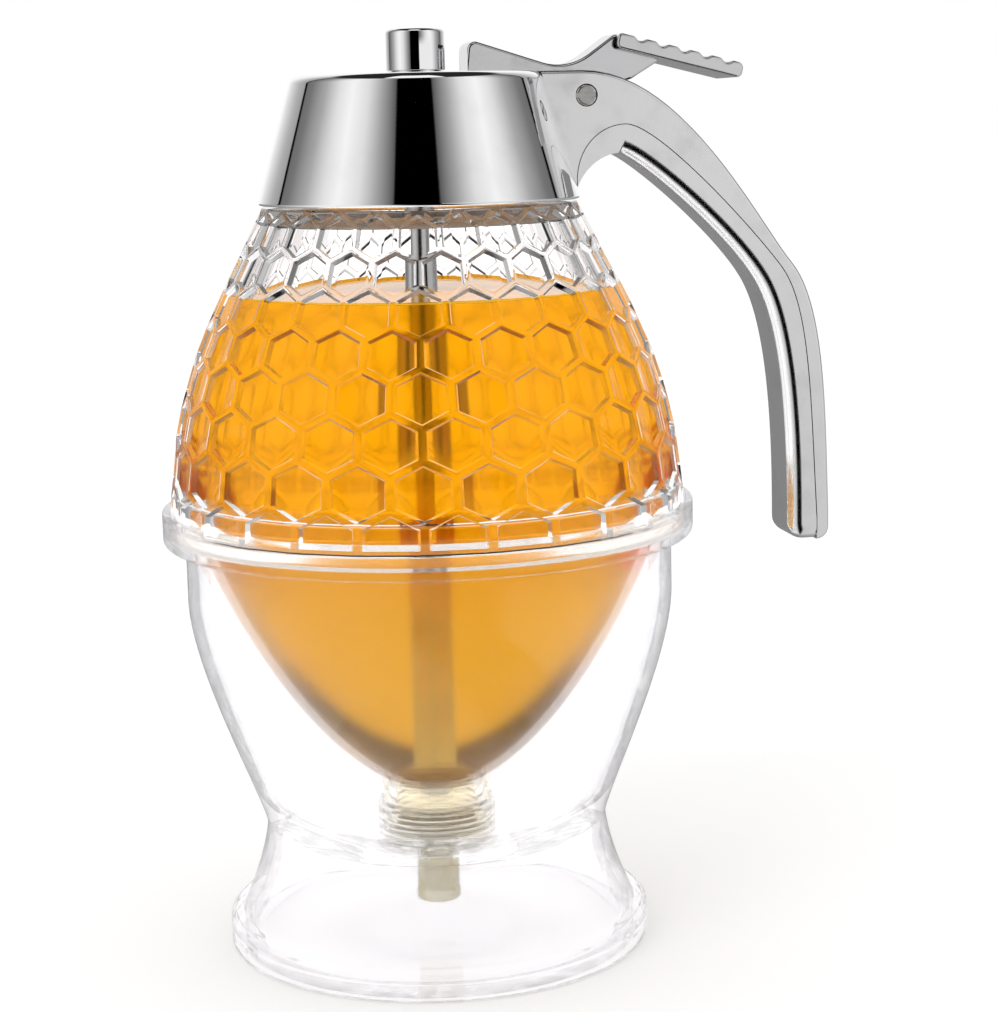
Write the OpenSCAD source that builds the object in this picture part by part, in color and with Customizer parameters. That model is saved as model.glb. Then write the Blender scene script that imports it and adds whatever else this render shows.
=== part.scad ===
// Honey dispenser: a clear honeycomb vessel that nests in a clear stand, closed by a
// chrome screw cap with a handle. A thumb lever lifts the plunger off the outlet seat.
// Millimetres, +Z up, origin in the middle of the stand's underside, handle towards +X.

/* [Stand] */
// Outer radius of the ring round the top of the stand
ring_r = 46; // [44:0.5:50]
// Height of the ring's upper edge above the table
ring_top = 78.2; // [74:0.2:84]
// Height of the ring band
ring_h = 6.1; // [5:0.1:8]
// Thickness of the ring's upright lip
lip_t = 1.2; // [1:0.1:1.6]
// Thickness of the ledge that carries the vessel
ledge_t = 1.5; // [1.2:0.1:2.5]
// Outer radius of the cup below the ring
cup_r = 42.2; // [40:0.1:42.6]
// Wall thickness of the stand
stand_wall = 2.0; // [1.6:0.1:2.4]
// Outer radius of the waist
waist_r = 30; // [28:0.5:33]
// Height of the waist above the table
waist_z = 21.8; // [20.5:0.1:23]
// Outer radius of the foot rim
foot_r = 37.1; // [36:0.1:42]
// Height of the foot rim
foot_rim_h = 6.3; // [5.5:0.1:7]
// Radius of the hole in the floor of the cup
web_hole_r = 13.3; // [12.5:0.1:15]
// Height of the cup floor at its hole
web_z = 17.4; // [16.5:0.1:18.5]
// Thickness of the cup floor
web_t = 1.8; // [1.4:0.1:2.2]
// Thickness of the drip plate that closes the foot
plate_t = 2.4; // [1.8:0.1:2.8]
// Width of the step in the foot rim that the drip plate seats in
plate_step = 1.8; // [1.2:0.1:2.4]

/* [Vessel] */
// Gap between the vessel's flange and the ring's lip
nest_clear = 0.3; // [0.2:0.05:0.6]
// Thickness of the vessel's flange
flange_t = 2.4; // [2:0.1:3]
// Height of the dome from its lower edge to its shoulder
dome_h = 53.2; // [50:0.2:60]
// Radius of the dome at its shoulder
dome_top_r = 26.9; // [26:0.1:28]
// Wall thickness of the dome
dome_wall = 2.0; // [1.8:0.1:2.4]
// Thickness of the dome's skirt outside the funnel's collar
skirt_t = 1.5; // [1.2:0.1:1.8]
// Number of honeycomb cells in each row round the dome
comb_cells = 26; // [22:2:30]
// Number of rows of honeycomb cells
comb_rows = 7; // [5:1:8]
// Depth of the honeycomb cells
comb_depth = 1.0; // [0.6:0.1:1.1]
// Width of the ridges between the cells
comb_web = 1.3; // [0.8:0.1:1.8]
// Height of the funnel's collar inside the dome
collar_h = 4.4; // [3.4:0.2:4.8]
// Thickness of the funnel's collar
collar_t = 1.6; // [1.2:0.1:2]
// Wall thickness of the funnel
funnel_wall = 1.8; // [1.5:0.1:2.2]
// Gap between the funnel and the stand's cup
funnel_clear = 0.8; // [0.4:0.1:1.5]
// Depth of the funnel below the flange
funnel_h = 44.4; // [43:0.2:46]
// Outer radius of the neck that the cap screws on
neck_r = 20.8; // [20:0.1:21]
// Height of the neck above the shoulder
neck_h = 4.9; // [4.9:0.1:5.5]
// Wall thickness of the neck
neck_wall = 1.8; // [1.5:0.1:2.2]

/* [Outlet] */
// Radius of the outlet bore under the seat
outlet_bore_r = 4.2; // [3.8:0.1:4.6]
// Outer radius of the outlet neck's threaded land
outlet_neck_r = 9.0; // [8.6:0.1:9.4]
// Outer radius of the outlet nut
nut_r = 10.4; // [10.2:0.1:11]
// Height of the outlet nut
nut_h = 8.2; // [7.6:0.1:9]
// Thickness of the outlet nut's floor
nut_floor = 1.4; // [1.2:0.1:1.8]
// Outer radius of the spout tube
spout_r = 3.9; // [3.5:0.1:4.1]
// Wall thickness of the spout tube
spout_wall = 0.95; // [0.8:0.05:1.2]
// Gap between the spout's tip and the drip plate
spout_gap = 3.6; // [2.5:0.1:5]
// Thickness of the outlet seal
seal_t = 1.0; // [0.8:0.1:1.4]

/* [Cap] */
// Outer radius of the cap's lower edge
cap_r = 27.6; // [27.2:0.1:28.5]
// Outer radius of the cap where its side meets its top
cap_top_r = 21.3; // [20.8:0.1:22.5]
// Height of the cap
cap_h = 21.4; // [21:0.1:24]
// Wall thickness of the cap
cap_wall = 1.4; // [1.2:0.1:1.5]
// Radius of the cap's upper edge
cap_edge_r = 1.8; // [1:0.1:2.2]
// Pitch of the cap's thread
thread_pitch = 2.4; // [2.2:0.1:2.4]
// Outer radius of the cap's threaded liner
liner_r = 23.9; // [23.6:0.1:24]
// Wall thickness of the liner's skirt
liner_wall = 1.5; // [1.3:0.1:1.6]
// Thickness of the liner's plate
liner_t = 1.4; // [1.2:0.1:1.8]
// Thickness of the cap's gasket
gasket_t = 0.8; // [0.6:0.1:1]

/* [Plunger] */
// Radius of the plunger rod
rod_r = 2.5; // [2.3:0.05:2.6]
// Radius of the rod above its shoulder
rod_top_r = 2.2; // [1.9:0.05:2.2]
// Radius of the rod's threaded lower end
rod_end_r = 1.5; // [1.3:0.05:1.6]
// Radius of the knob on top
knob_r = 5.05; // [4.6:0.05:5.5]
// Height of the knob
knob_h = 7.3; // [6:0.1:9]
// Largest radius of the stopper
stopper_r = 6.4; // [6:0.1:6.8]
// Height of the stopper
stopper_h = 8.0; // [7:0.1:9]
// Radius of the lift collar
lift_collar_r = 5.2; // [4.9:0.1:5.6]
// Radius of the spring's wire
wire_r = 0.3; // [0.25:0.01:0.35]
// Middle radius of the spring's coils
spring_r = 4.25; // [4.1:0.05:4.5]
// Number of turns in the spring
spring_turns = 5; // [4:0.5:5.5]

/* [Handle] */
// Width of the handle
handle_w = 13; // [12.6:0.1:15]
// Distance from the axis to the grip's outer face
grip_x = 70.9; // [68:0.1:76]
// Thickness of the grip at its lower end
grip_t = 7.2; // [6.4:0.1:8.2]
// Radius of the grip's inner corner at its lower end
cover_tip_r = 2.8; // [2:0.1:3.4]
// Height of the grip's lower end above the table
grip_end_z = 68.2; // [64:0.2:72]
// Wall thickness of the handle's outer shell
handle_wall = 1.8; // [1.5:0.1:2.2]
// Distance from the axis to the lever's pivot
pivot_x = 28.1; // [27.8:0.1:29]
// Depth of the pivot below the cap's top
pivot_drop = 4.2; // [4:0.1:4.6]
// Radius of the pivot screw
pivot_r = 1.85; // [1.6:0.05:2]

/* [Trigger lever] */
// Width of the lever's hood, which is also its width in the slot
lever_w = 8.6; // [8.2:0.1:8.8]
// Width of the thumb pad
pad_w = 13; // [11:0.1:15]
// Length of the thumb pad
pad_l = 22.6; // [19:0.1:25]
// Thickness of the thumb pad
pad_t = 2.6; // [2.2:0.1:3]
// Downward slope of the thumb pad in degrees
pad_tilt = 14.2; // [10:0.2:17]
// Number of grooves across the thumb pad
pad_grooves = 5; // [3:1:6]
// Spacing of the grooves across the thumb pad
pad_pitch = 3.9; // [3:0.1:4]
// Thickness of the fork's tines
tine_t = 2.1; // [1.8:0.1:2.3]

/* [Fits] */
// Radial clearance of a shaft that runs in a bore
run_clear = 0.08; // [0.02:0.01:0.1]
// Gap between parts that move past each other
side_clear = 0.3; // [0.2:0.05:0.4]
// Gap at a glued or screwed joint
joint_clear = 0.05; // [0.02:0.01:0.1]

/* [Hidden] */
$fn = 96;

// heights that stack up from the table
ledge_z = ring_top - ring_h + ledge_t;
dome_z = ledge_z + flange_t;
shoulder_z = dome_z + dome_h;
neck_z = shoulder_z + neck_h;
liner_z = neck_z + gasket_t;
liner_top = liner_z + liner_t;
cap_gap = 0.4;
cap_z = shoulder_z + cap_gap;
cap_top = cap_z + cap_h;
cap_under = cap_top - cap_wall;

// the vessel
lip_r = ring_r - lip_t;
dome_r = lip_r - nest_clear;
socket_r = dome_r - skirt_t;
collar_r = socket_r - joint_clear;
funnel_r = cup_r - stand_wall - funnel_clear;

// the outlet, counted down from the funnel's floor
outlet_z = ledge_z - funnel_h;
floor_t = 1.6;
seat_depth = 1.0;
funnel_floor_z = outlet_z + 0.4;
outlet_neck_z = funnel_floor_z - floor_t - 7.4;
seal_z = outlet_neck_z - seal_t;
spout_flange_t = 1.2;
spout_z = seal_z - spout_flange_t;
nut_z = spout_z - nut_floor;
spout_tip_z = plate_t + spout_gap;

// the cap's side slopes in by this much for each millimetre of height
cap_slope = (cap_r - cap_top_r) / cap_h;
cap_wall_x = cap_wall * sqrt(1 + cap_slope * cap_slope);
function cap_out(z) = cap_r - (z - cap_z) * cap_slope;

// the lever's works
slot_w = lever_w + 2 * side_clear;
slot_front = 7.9;
pivot_z = cap_top - pivot_drop;
fork_gap = 0.5;
fork_top = liner_top + fork_gap + tine_t;
collar_z = fork_top + 0.15;
lift_collar_t = 1.2;
collar_hub_h = 1.4;
clip_z = collar_z + lift_collar_t + collar_hub_h;
clip_t = 0.5;
seat_ring_t = 0.6;
spring_z = collar_z + lift_collar_t;
spring_top = cap_under - seat_ring_t;

// the plunger
stopper_gap = 0.25;
seat_top_r = outlet_bore_r + seat_depth;
stopper_z = funnel_floor_z - seat_depth - 0.6;
stopper_low_r = outlet_bore_r - 0.6 - stopper_gap * sqrt(2);
nut_hex_h = 2.2;
rod_shoulder_z = stopper_z + stopper_h + 0.6;
knob_z = cap_top + 0.2;

// direction and corner helpers for profiles
function unit(v) = v / norm(v);
function turn(a) = a > 180 ? a - 360 : a < -180 ? a + 360 : a;
// points of an arc of radius r in the corner b between a and c
function corner(a, b, c, r, n) =
    r <= 0 ? [b] :
    let (u = unit(a - b), v = unit(c - b), half = acos(u * v) / 2,
         mid = b + unit(u + v) * r / sin(half),
         s = b + u * r / tan(half) - mid, e = b + v * r / tan(half) - mid,
         a0 = atan2(s.y, s.x), da = turn(atan2(e.y, e.x) - a0))
    [for (i = [0:n]) mid + r * [cos(a0 + da * i / n), sin(a0 + da * i / n)]];
// a closed outline of [x, y, corner radius] points
function rounded(pts, n = 5) =
    [for (i = [0:len(pts) - 1])
        let (p = pts[i], q = pts[(i + len(pts) - 1) % len(pts)], s = pts[(i + 1) % len(pts)])
        each corner([q.x, q.y], [p.x, p.y], [s.x, s.y], len(p) > 2 ? p[2] : 0, n)];
// points on a cubic curve through p[0] and p[3], pulled towards p[1] and p[2]
function curve(p, n = 12) =
    [for (i = [0:n]) let (t = i / n, s = 1 - t)
        s * s * s * p[0] + 3 * s * s * t * p[1] + 3 * s * t * t * p[2] + t * t * t * p[3]];
// the same points moved sideways by w, to the right of the direction of travel
function inset(c, w) =
    [for (i = [0:len(c) - 1])
        let (t = unit(c[min(len(c) - 1, i + 1)] - c[max(0, i - 1)])) c[i] + w * [t.y, -t.x]];
function reversed(c) = [for (i = [len(c) - 1:-1:0]) c[i]];

// a side view in X and Z, given its width along Y
module plate(pts, w) rotate([90, 0, 0]) linear_extrude(w, center = true) polygon(pts);
// a bar with its axis along Y, from y0 to y1
module cross_bar(x, z, r, y0, y1)
    translate([x, y1, z]) rotate([90, 0, 0]) cylinder(h = y1 - y0, r = r);
// a tube between two heights
module tube(z0, z1, r_out, r_in) {
    translate([0, 0, z0]) difference() {
        cylinder(h = z1 - z0, r = r_out);
        translate([0, 0, -1]) cylinder(h = z1 - z0 + 2, r = r_in);
    }
}
// a thread ridge or a coil: the section (radial, axial) points swept up a helix
module helix(section, pitch, a0, a1, step) {
    n = ceil((a1 - a0) / step);
    m = len(section);
    pts = [for (i = [0:n]) let (a = a0 + (a1 - a0) * i / n) for (s = section)
        [s.x * cos(a), s.x * sin(a), s.y + pitch * a / 360]];
    sides = [for (i = [0:n - 1]) for (j = [0:m - 1])
        let (k = (j + 1) % m) [i * m + j, i * m + k, i * m + m + k, i * m + m + j]];
    ends = [[for (j = [m - 1:-1:0]) j], [for (j = [0:m - 1]) n * m + j]];
    polyhedron(pts, concat(sides, ends), convexity = 10);
}

// ---------------------------------------------------------------- stand
function cup_curve() = curve([[cup_r, ledge_z - 11.3], [cup_r, ledge_z - 23.7],
                              [waist_r, waist_z + 3.4], [waist_r, waist_z]], 14);
foot_ledge = 2.2;
function foot_curve() = curve([[waist_r, waist_z], [waist_r, waist_z - 3],
    [foot_r - foot_ledge - 2.4, foot_rim_h + 4], [foot_r - foot_ledge, foot_rim_h]], 10);

// the radius of a profile at a height
function radius_at(c, z) = lookup(z, [for (p = c) [p.y, p.x]]);
// the two mouldings of the stand meet at this height
seam_z = waist_z + 3.5;
rim_step = 0.9;
rim_in = foot_r - foot_ledge - stand_wall;

module stand_cup() {
    inner = inset(cup_curve(), stand_wall);
    ring_low = ring_top - ring_h;
    outline = concat(
        [[radius_at(inner, seam_z), seam_z]],
        reversed([for (p = inner) if (p.y > seam_z + 0.6) p]),
        [[cup_r - stand_wall, ledge_z], [lip_r, ledge_z]],
        corner([lip_r, ledge_z], [lip_r, ring_top], [ring_r, ring_top], lip_t / 3, 4),
        corner([lip_r, ring_top], [ring_r, ring_top], [ring_r, ring_low], lip_t / 2, 5),
        corner([ring_r, ring_top], [ring_r, ring_low], [cup_r, ring_low], lip_t, 5),
        corner([ring_r, ring_low], [cup_r, ring_low], [cup_r, cup_curve()[0].y], ledge_t, 5),
        [for (p = cup_curve()) if (p.y > seam_z + 0.1) p],
        [[radius_at(cup_curve(), seam_z), seam_z]]);
    color([0.9, 0.94, 0.96, 0.4]) rotate_extrude() polygon(outline);
}

module stand_foot() {
    skirt_in = [for (p = inset(foot_curve(), stand_wall)) if (p.y < waist_z - 1) p];
    rim_r = foot_r - rim_step;
    outline = concat(
        [[rim_in + plate_step, 0], [rim_in + plate_step, plate_t], [rim_in, plate_t]],
        reversed(skirt_in),
        [[web_hole_r, web_z - web_t], [web_hole_r, web_z],
         [radius_at(inset(cup_curve(), stand_wall), seam_z), seam_z],
         [radius_at(cup_curve(), seam_z), seam_z]],
        [for (p = cup_curve()) if (p.y < seam_z - 0.1) p],
        [for (p = foot_curve()) if (p.y < waist_z - 0.1) p],
        corner([rim_in, foot_rim_h], [rim_r, foot_rim_h], [rim_r, foot_rim_h - rim_step], rim_step / 2, 4),
        corner([rim_r, foot_rim_h - rim_step], [foot_r, foot_rim_h - rim_step], [foot_r, 0],
               rim_step / 2, 4),
        corner([foot_r, foot_rim_h], [foot_r, 0], [rim_in, 0], rim_step, 5));
    color([0.9, 0.94, 0.96, 0.4]) rotate_extrude() polygon(outline);
}

module drip_plate() {
    plate_r = rim_in + plate_step;
    color([0.92, 0.95, 0.97, 0.4]) rotate_extrude() polygon(rounded([
        [0, 0], [plate_r, 0, plate_t / 10], [plate_r, plate_t, plate_t / 10], [0, plate_t]], 3));
}

// ---------------------------------------------------------------- vessel
function dome_curve(n = 16) = curve([[dome_r, dome_z], [dome_r - 0.8, dome_z + 26.2],
    [dome_top_r + 7.6, shoulder_z - 16], [dome_top_r, shoulder_z]], n);
function funnel_curve() = curve([[funnel_r, ledge_z - 1.6], [funnel_r, ledge_z - 2.8],
    [funnel_r - 11.3, outlet_z + 11.5], [outlet_neck_r + 0.6, outlet_z]], 14);
thread_w = 1.0;

// the point a length s along a line, and the length of the line
function along(c, s, i = 0) =
    let (d = norm(c[i + 1] - c[i]))
    s <= d || i == len(c) - 2 ? c[i] + unit(c[i + 1] - c[i]) * s : along(c, s - d, i + 1);
function length_of(c, i = 0) = i == len(c) - 1 ? 0 : norm(c[i + 1] - c[i]) + length_of(c, i + 1);
// a point on the dome: s along its outer line, at angle a and depth d under the surface
function on_dome(c, s, a, d) =
    let (p = along(c, s), t = unit(along(c, s + 0.5) - along(c, s - 0.5)), r = p.x - t.y * d)
    [r * cos(a), r * sin(a), p.y + t.x * d];

// the honeycomb: its rows as shares of the outer line's length, a little closer towards the top
comb_start = 0.174;
comb_span = 0.746;
comb_bow = 0.102;
comb_turn = -85.7;
comb_bevel = 0.7;
function row_at(k) =
    let (u = k / (comb_rows - 1)) comb_start + comb_span * u * (1 + comb_bow * (1 - u));
// edge j runs in a zigzag between rows j - 1 and j; h counts half cells round the dome
function edge_at(j, h) =
    let (low = row_at(j - 1), third = (row_at(j) - low) / 3)
    low + third * ((j - 1 - h) % 2 == 0 ? 2 : 1);

// the dome's wall: six-sided cells sunk into its outside, a smooth inside and a socket below
module comb_wall() {
    c = dome_curve();
    full = length_of(c);
    sides = 2 * comb_cells;
    half = 180 / comb_cells;
    low_z = dome_z + collar_h + 0.1;
    out = 1 / cos(half / 2);
    wall_in = [for (p = inset(dome_curve(8), -dome_wall))
        if (p.y > low_z + 0.5 && p.y < shoulder_z - dome_wall - 0.3) p];
    cell_w = 2 * PI * dome_r / comb_cells;
    web = comb_web / cell_w;
    bevel = web + 2 * comb_bevel / cell_w;
    edges = [for (j = [0:comb_rows]) for (h = [0:sides - 1])
        on_dome(c, full * edge_at(j, h), comb_turn + h * half, 0)];
    cells = [for (k = [0:comb_rows - 1]) for (i = [0:comb_cells - 1])
        let (hc = 2 * i + k % 2, s = row_at(k),
             ring = [for (e = [[k, -1], [k, 0], [k, 1], [k + 1, 1], [k + 1, 0], [k + 1, -1]])
                 [edge_at(e[0], hc + e[1] + sides) - s, e[1]]])
        for (q = [for (w = [web, bevel]) for (v = ring) concat(v * (1 - w), w), [0, 0, bevel]])
            on_dome(c, full * (s + q[0]), comb_turn + (hc + q[1]) * half, q[2] == web ? 0 : comb_depth)];
    rings = concat(
        [[dome_top_r, shoulder_z], [neck_r + 2.2, shoulder_z - 0.2],
         [neck_r + 2.2, shoulder_z - dome_wall + 0.2]],
        reversed(wall_in),
        [[wall_in[0].x * out, low_z], [socket_r * out, low_z], [socket_r * out, dome_z], [dome_r, dome_z]]);
    hoops = [for (p = rings) for (h = [0:sides - 1])
        [p.x * cos(comb_turn + h * half), p.x * sin(comb_turn + h * half), p.y]];
    first = len(edges);
    hoop = first + len(cells);
    function edge(j, h) = j * sides + (h + sides) % sides;
    function on_hoop(q, h) = hoop + q * sides + h % sides;
    function split(a, b, c, d) = [[c, b, a], [d, c, a]];
    last = len(rings) - 1;
    faces = concat(
        [for (k = [0:comb_rows - 1]) for (i = [0:comb_cells - 1])
            let (h = 2 * i + k % 2, at = first + (k * comb_cells + i) * 13,
                 rim = [edge(k, h - 1), edge(k, h), edge(k, h + 1),
                        edge(k + 1, h + 1), edge(k + 1, h), edge(k + 1, h - 1)])
            for (e = [0:5]) let (f = (e + 1) % 6)
                each concat(split(rim[e], rim[f], at + f, at + e),
                            split(at + e, at + f, at + 6 + f, at + 6 + e),
                            [[at + 12, at + 6 + f, at + 6 + e]])],
        [for (h = [0:sides - 1]) each concat(
            split(edge(comb_rows, h), edge(comb_rows, h + 1), on_hoop(0, h + 1), on_hoop(0, h)),
            split(on_hoop(last, h), on_hoop(last, h + 1), edge(0, h + 1), edge(0, h)))],
        [for (q = [0:last - 1]) for (h = [0:sides - 1])
            each split(on_hoop(q, h), on_hoop(q, h + 1), on_hoop(q + 1, h + 1), on_hoop(q + 1, h))]);
    polyhedron(concat(edges, cells, hoops), faces);
}

module container_dome() {
    mouth_r = neck_r - neck_wall;
    outline = concat(
        [[neck_r + 3.5, shoulder_z - dome_wall], [neck_r + 3.5, shoulder_z], [neck_r, shoulder_z]],
        corner([neck_r, shoulder_z], [neck_r, neck_z], [mouth_r, neck_z], 0.3, 3),
        corner([neck_r, neck_z], [mouth_r, neck_z], [mouth_r, shoulder_z], 0.3, 3),
        [[mouth_r, shoulder_z - dome_wall]]);
    color([0.93, 0.95, 0.95, 0.4]) {
        comb_wall();
        rotate_extrude() polygon(outline);
        helix([[neck_r - 0.3, shoulder_z + 0.8], [neck_r + 0.8, shoulder_z + 1.05],
               [neck_r + 0.8, shoulder_z + 0.55 + thread_w], [neck_r - 0.3, shoulder_z + 0.8 + thread_w]],
              thread_pitch, 0, 400, 10);
    }
}

module container_funnel() {
    collar_in = collar_r - collar_t;
    wall_in = [for (p = inset(funnel_curve(), funnel_wall))
        if (p.y < ledge_z - 3 && p.y > funnel_floor_z + 0.4) p];
    land = outlet_neck_r + 0.5;
    land_z = nut_z + nut_h + 0.2;
    neck_in = outlet_neck_r - 2;
    outline = concat(
        [[dome_r, ledge_z, 0.3], [dome_r, dome_z], [collar_r, dome_z],
         [collar_r, dome_z + collar_h, 0.3], [collar_in, dome_z + collar_h, 0.3],
         [collar_in, dome_z + 1.2, 2], [funnel_r - funnel_wall, ledge_z - 0.5, 2]],
        wall_in,
        [[seat_top_r, funnel_floor_z], [outlet_bore_r, funnel_floor_z - seat_depth],
         [outlet_bore_r, funnel_floor_z - floor_t], [neck_in, funnel_floor_z - floor_t, 0.5],
         [neck_in, outlet_neck_z], [outlet_neck_r, outlet_neck_z, 0.2], [outlet_neck_r, land_z],
         [land, land_z]],
        reversed(funnel_curve()), [[funnel_r, ledge_z]]);
    color([0.95, 0.93, 0.88, 0.4]) rotate_extrude() polygon(rounded(outline, 4));
}

module outlet_seal() {
    color("whitesmoke") tube(seal_z, seal_z + seal_t, outlet_neck_r - 0.3, spout_r + 0.8);
}

module spout_nozzle() {
    bore_r = spout_r - spout_wall;
    throat = 0.8 * spout_flange_t;
    flange_r = outlet_neck_r - 0.4;
    color([0.96, 0.93, 0.8, 0.7]) rotate_extrude() polygon(rounded([
        [bore_r, spout_tip_z, 0.3], [spout_r, spout_tip_z, 0.4], [spout_r, spout_z],
        [flange_r, spout_z], [flange_r, spout_z + spout_flange_t],
        [bore_r + throat, spout_z + spout_flange_t], [bore_r, spout_z + spout_flange_t - throat]], 4));
}

module outlet_nut() {
    hole_r = spout_r + 0.2;
    inner_r = outlet_neck_r + 0.1;
    floor_z = nut_z + nut_floor;
    color([0.93, 0.93, 0.92, 0.4]) rotate_extrude() polygon(rounded([
        [hole_r, nut_z], [nut_r, nut_z, 1.6], [nut_r, nut_z + nut_h, 1.0],
        [inner_r, nut_z + nut_h, 0.2], [inner_r, floor_z], [hole_r, floor_z]], 5));
}

// ---------------------------------------------------------------- cap
// the cap's outer form, filled, for the cap itself and for the handle's root
module cap_form() {
    rotate_extrude() polygon(rounded([[0, cap_z], [cap_r, cap_z, 0.4],
        [cap_top_r, cap_top, cap_edge_r], [0, cap_top]], 6));
}
boss_pitch_r = 16.2;
boss_r = 2.6;
screw_r = 1.0;
liner_screw_l = 5.7;
handle_screw_z = pivot_z - 7.4;
handle_screw_y = 3.6;
handle_screw_r = 1.2;
handle_screw_end = pivot_x + 3;

module cap_gasket() {
    in_r = neck_r - neck_wall;
    out_r = liner_r - liner_wall - 0.4;
    color("dimgray") tube(neck_z, liner_z, out_r, in_r);
}

module cap_shell() {
    inner_low = cap_r - cap_wall_x;
    inner_high = cap_out(cap_under) - cap_wall_x;
    slot_low = pivot_z - 3.6;
    color("silver") difference() {
        union() {
            difference() {
                cap_form();
                rotate_extrude() polygon([[0, cap_z - 1],
                    [inner_low + cap_slope, cap_z - 1], [inner_high, cap_under], [0, cap_under]]);
            }
            for (a = [90, 180, 270]) rotate([0, 0, a])
                translate([boss_pitch_r, 0, liner_top]) cylinder(h = cap_under - liner_top + 0.5, r = boss_r);
        }
        translate([slot_front, -slot_w / 2, slot_low]) cube([30, slot_w, cap_top - slot_low + 1]);
        translate([0, 0, cap_under - 1]) cylinder(h = cap_wall + 2, r = rod_top_r + run_clear);
        for (a = [90, 180, 270]) rotate([0, 0, a])
            translate([boss_pitch_r, 0, liner_z]) cylinder(h = liner_screw_l + 1, r = screw_r);
        handle_screw_holes(handle_screw_r + 0.1);
    }
}

// the two holes that run from inside the cap into the handle's root
module handle_screw_holes(r) {
    for (y = [-handle_screw_y, handle_screw_y]) translate([0, y, handle_screw_z])
        rotate([0, 90, 0]) cylinder(h = handle_screw_end + 0.4, r = r);
}

module cap_liner() {
    skirt_in = liner_r - liner_wall;
    skirt_z = cap_z + 0.4;
    bush_r = rod_r + 1.2;
    color("gainsboro") {
        difference() {
            rotate_extrude() polygon([[bush_r, liner_z], [skirt_in, liner_z], [skirt_in, skirt_z],
                [liner_r, skirt_z], [liner_r, liner_top], [bush_r, liner_top]]);
            for (a = [90, 180, 270]) rotate([0, 0, a])
                translate([boss_pitch_r, 0, liner_z - 1]) cylinder(h = liner_t + 2, r = screw_r + 0.1);
        }
        helix([[skirt_in + 0.3, shoulder_z + 0.8 - thread_pitch / 2],
               [skirt_in + 0.3, shoulder_z + 0.8 - thread_pitch / 2 + thread_w],
               [neck_r + 0.4, shoulder_z + 0.55 - thread_pitch / 2 + thread_w],
               [neck_r + 0.4, shoulder_z + 1.05 - thread_pitch / 2]],
              thread_pitch, 190, 500, 10);
    }
}

// a pan-head screw from its head's underside at the origin up along Z, with a cross in its head
module screw(r, l, head_r, head_h) {
    cross_w = head_h * 0.4;
    cross_l = head_r * 1.2;
    difference() {
        union() {
            translate([0, 0, -head_h]) cylinder(h = head_h, r = head_r);
            translate([0, 0, -head_h / 2]) cylinder(h = l + head_h / 2, r = r);
        }
        for (t = [0, 90]) rotate([0, 0, t]) translate([-cross_l / 2, -cross_w / 2, -head_h * 1.1])
            cube([cross_l, cross_w, head_h * 0.7]);
    }
}

module liner_screws() {
    color("silver") for (a = [90, 180, 270]) rotate([0, 0, a]) translate([boss_pitch_r, 0, liner_z])
        screw(screw_r, liner_screw_l, 1.9 * screw_r, 1.3 * screw_r);
}

module rod_guide_bush() {
    bush_r = rod_r + 1.2;
    color("white") {
        tube(liner_z - 0.9, liner_top, bush_r, rod_r + run_clear);
        tube(liner_z - 0.9, liner_z, bush_r + 1.3, rod_r + run_clear);
    }
}

// ---------------------------------------------------------------- handle
// the outer line runs from the cap's top over the shoulder and down the grip
bend_x = grip_x - 6.6;
bend_z = cap_top - 33.5;
function outer_line() = concat(
    curve([[pivot_x - 0.7, cap_top], [pivot_x + 16.9, cap_top],
           [bend_x - 5.8, bend_z + 7], [bend_x, bend_z]], 10),
    [for (p = curve([[bend_x, bend_z], [grip_x - 0.3, bend_z - 7.6],
           [grip_x - 0.5, bend_z - 27.1], [grip_x, grip_end_z + 5.8]], 10)) if (p.y < bend_z) p]);
// the parting line between shell and cover
part_x = grip_x - 8.5;
part_z = cap_top - 34.3;
root_z = cap_z + 0.5;
function part_line() = concat(
    curve([[pivot_x - 1.8, root_z], [pivot_x - 2.9, root_z + 7.6],
           [pivot_x + 2, cap_top - 9.1], [pivot_x + 6.7, cap_top - 9.1]], 8),
    [for (p = curve([[pivot_x + 6.7, cap_top - 9.1], [pivot_x + 12.4, cap_top - 9.1],
           [part_x - 4.9, part_z + 6.6], [part_x, part_z]], 10)) if (p.x > pivot_x + 6.8) p],
    [for (p = curve([[part_x, part_z], [grip_x - 3.2, part_z - 7.1],
           [grip_x - 3.3, part_z - 24.1], [grip_x - shell_tip_t, grip_end_z + 4.2]], 10))
        if (p.y < part_z - 0.1) p]);
// the inner line, where the fingers go
hook_x = grip_x - 12.9;
hook_z = cap_top - 36.7;
grip_in = grip_x - grip_t;
shell_tip_t = 2.2;
tip_r = 2.2;
cover_step = 0.1;
function inner_line() = concat(
    curve([[pivot_x - 2.2, root_z], [pivot_x - 0.9, root_z + 5.2],
           [pivot_x + 3.5, cap_top - 14], [pivot_x + 5.4, cap_top - 14]], 6),
    [for (p = curve([[pivot_x + 5.4, cap_top - 14], [pivot_x + 8.2, cap_top - 14],
           [hook_x - 5, hook_z + 8.5], [hook_x, hook_z]], 10)) if (p.x > pivot_x + 5.5) p],
    [for (p = curve([[hook_x, hook_z], [grip_in - 1.5, hook_z - 7.1],
           [grip_in, hook_z - 22.1], [grip_in, grip_end_z + 5.8]], 10))
        if (p.y < hook_z - 0.1) p]);

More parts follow.
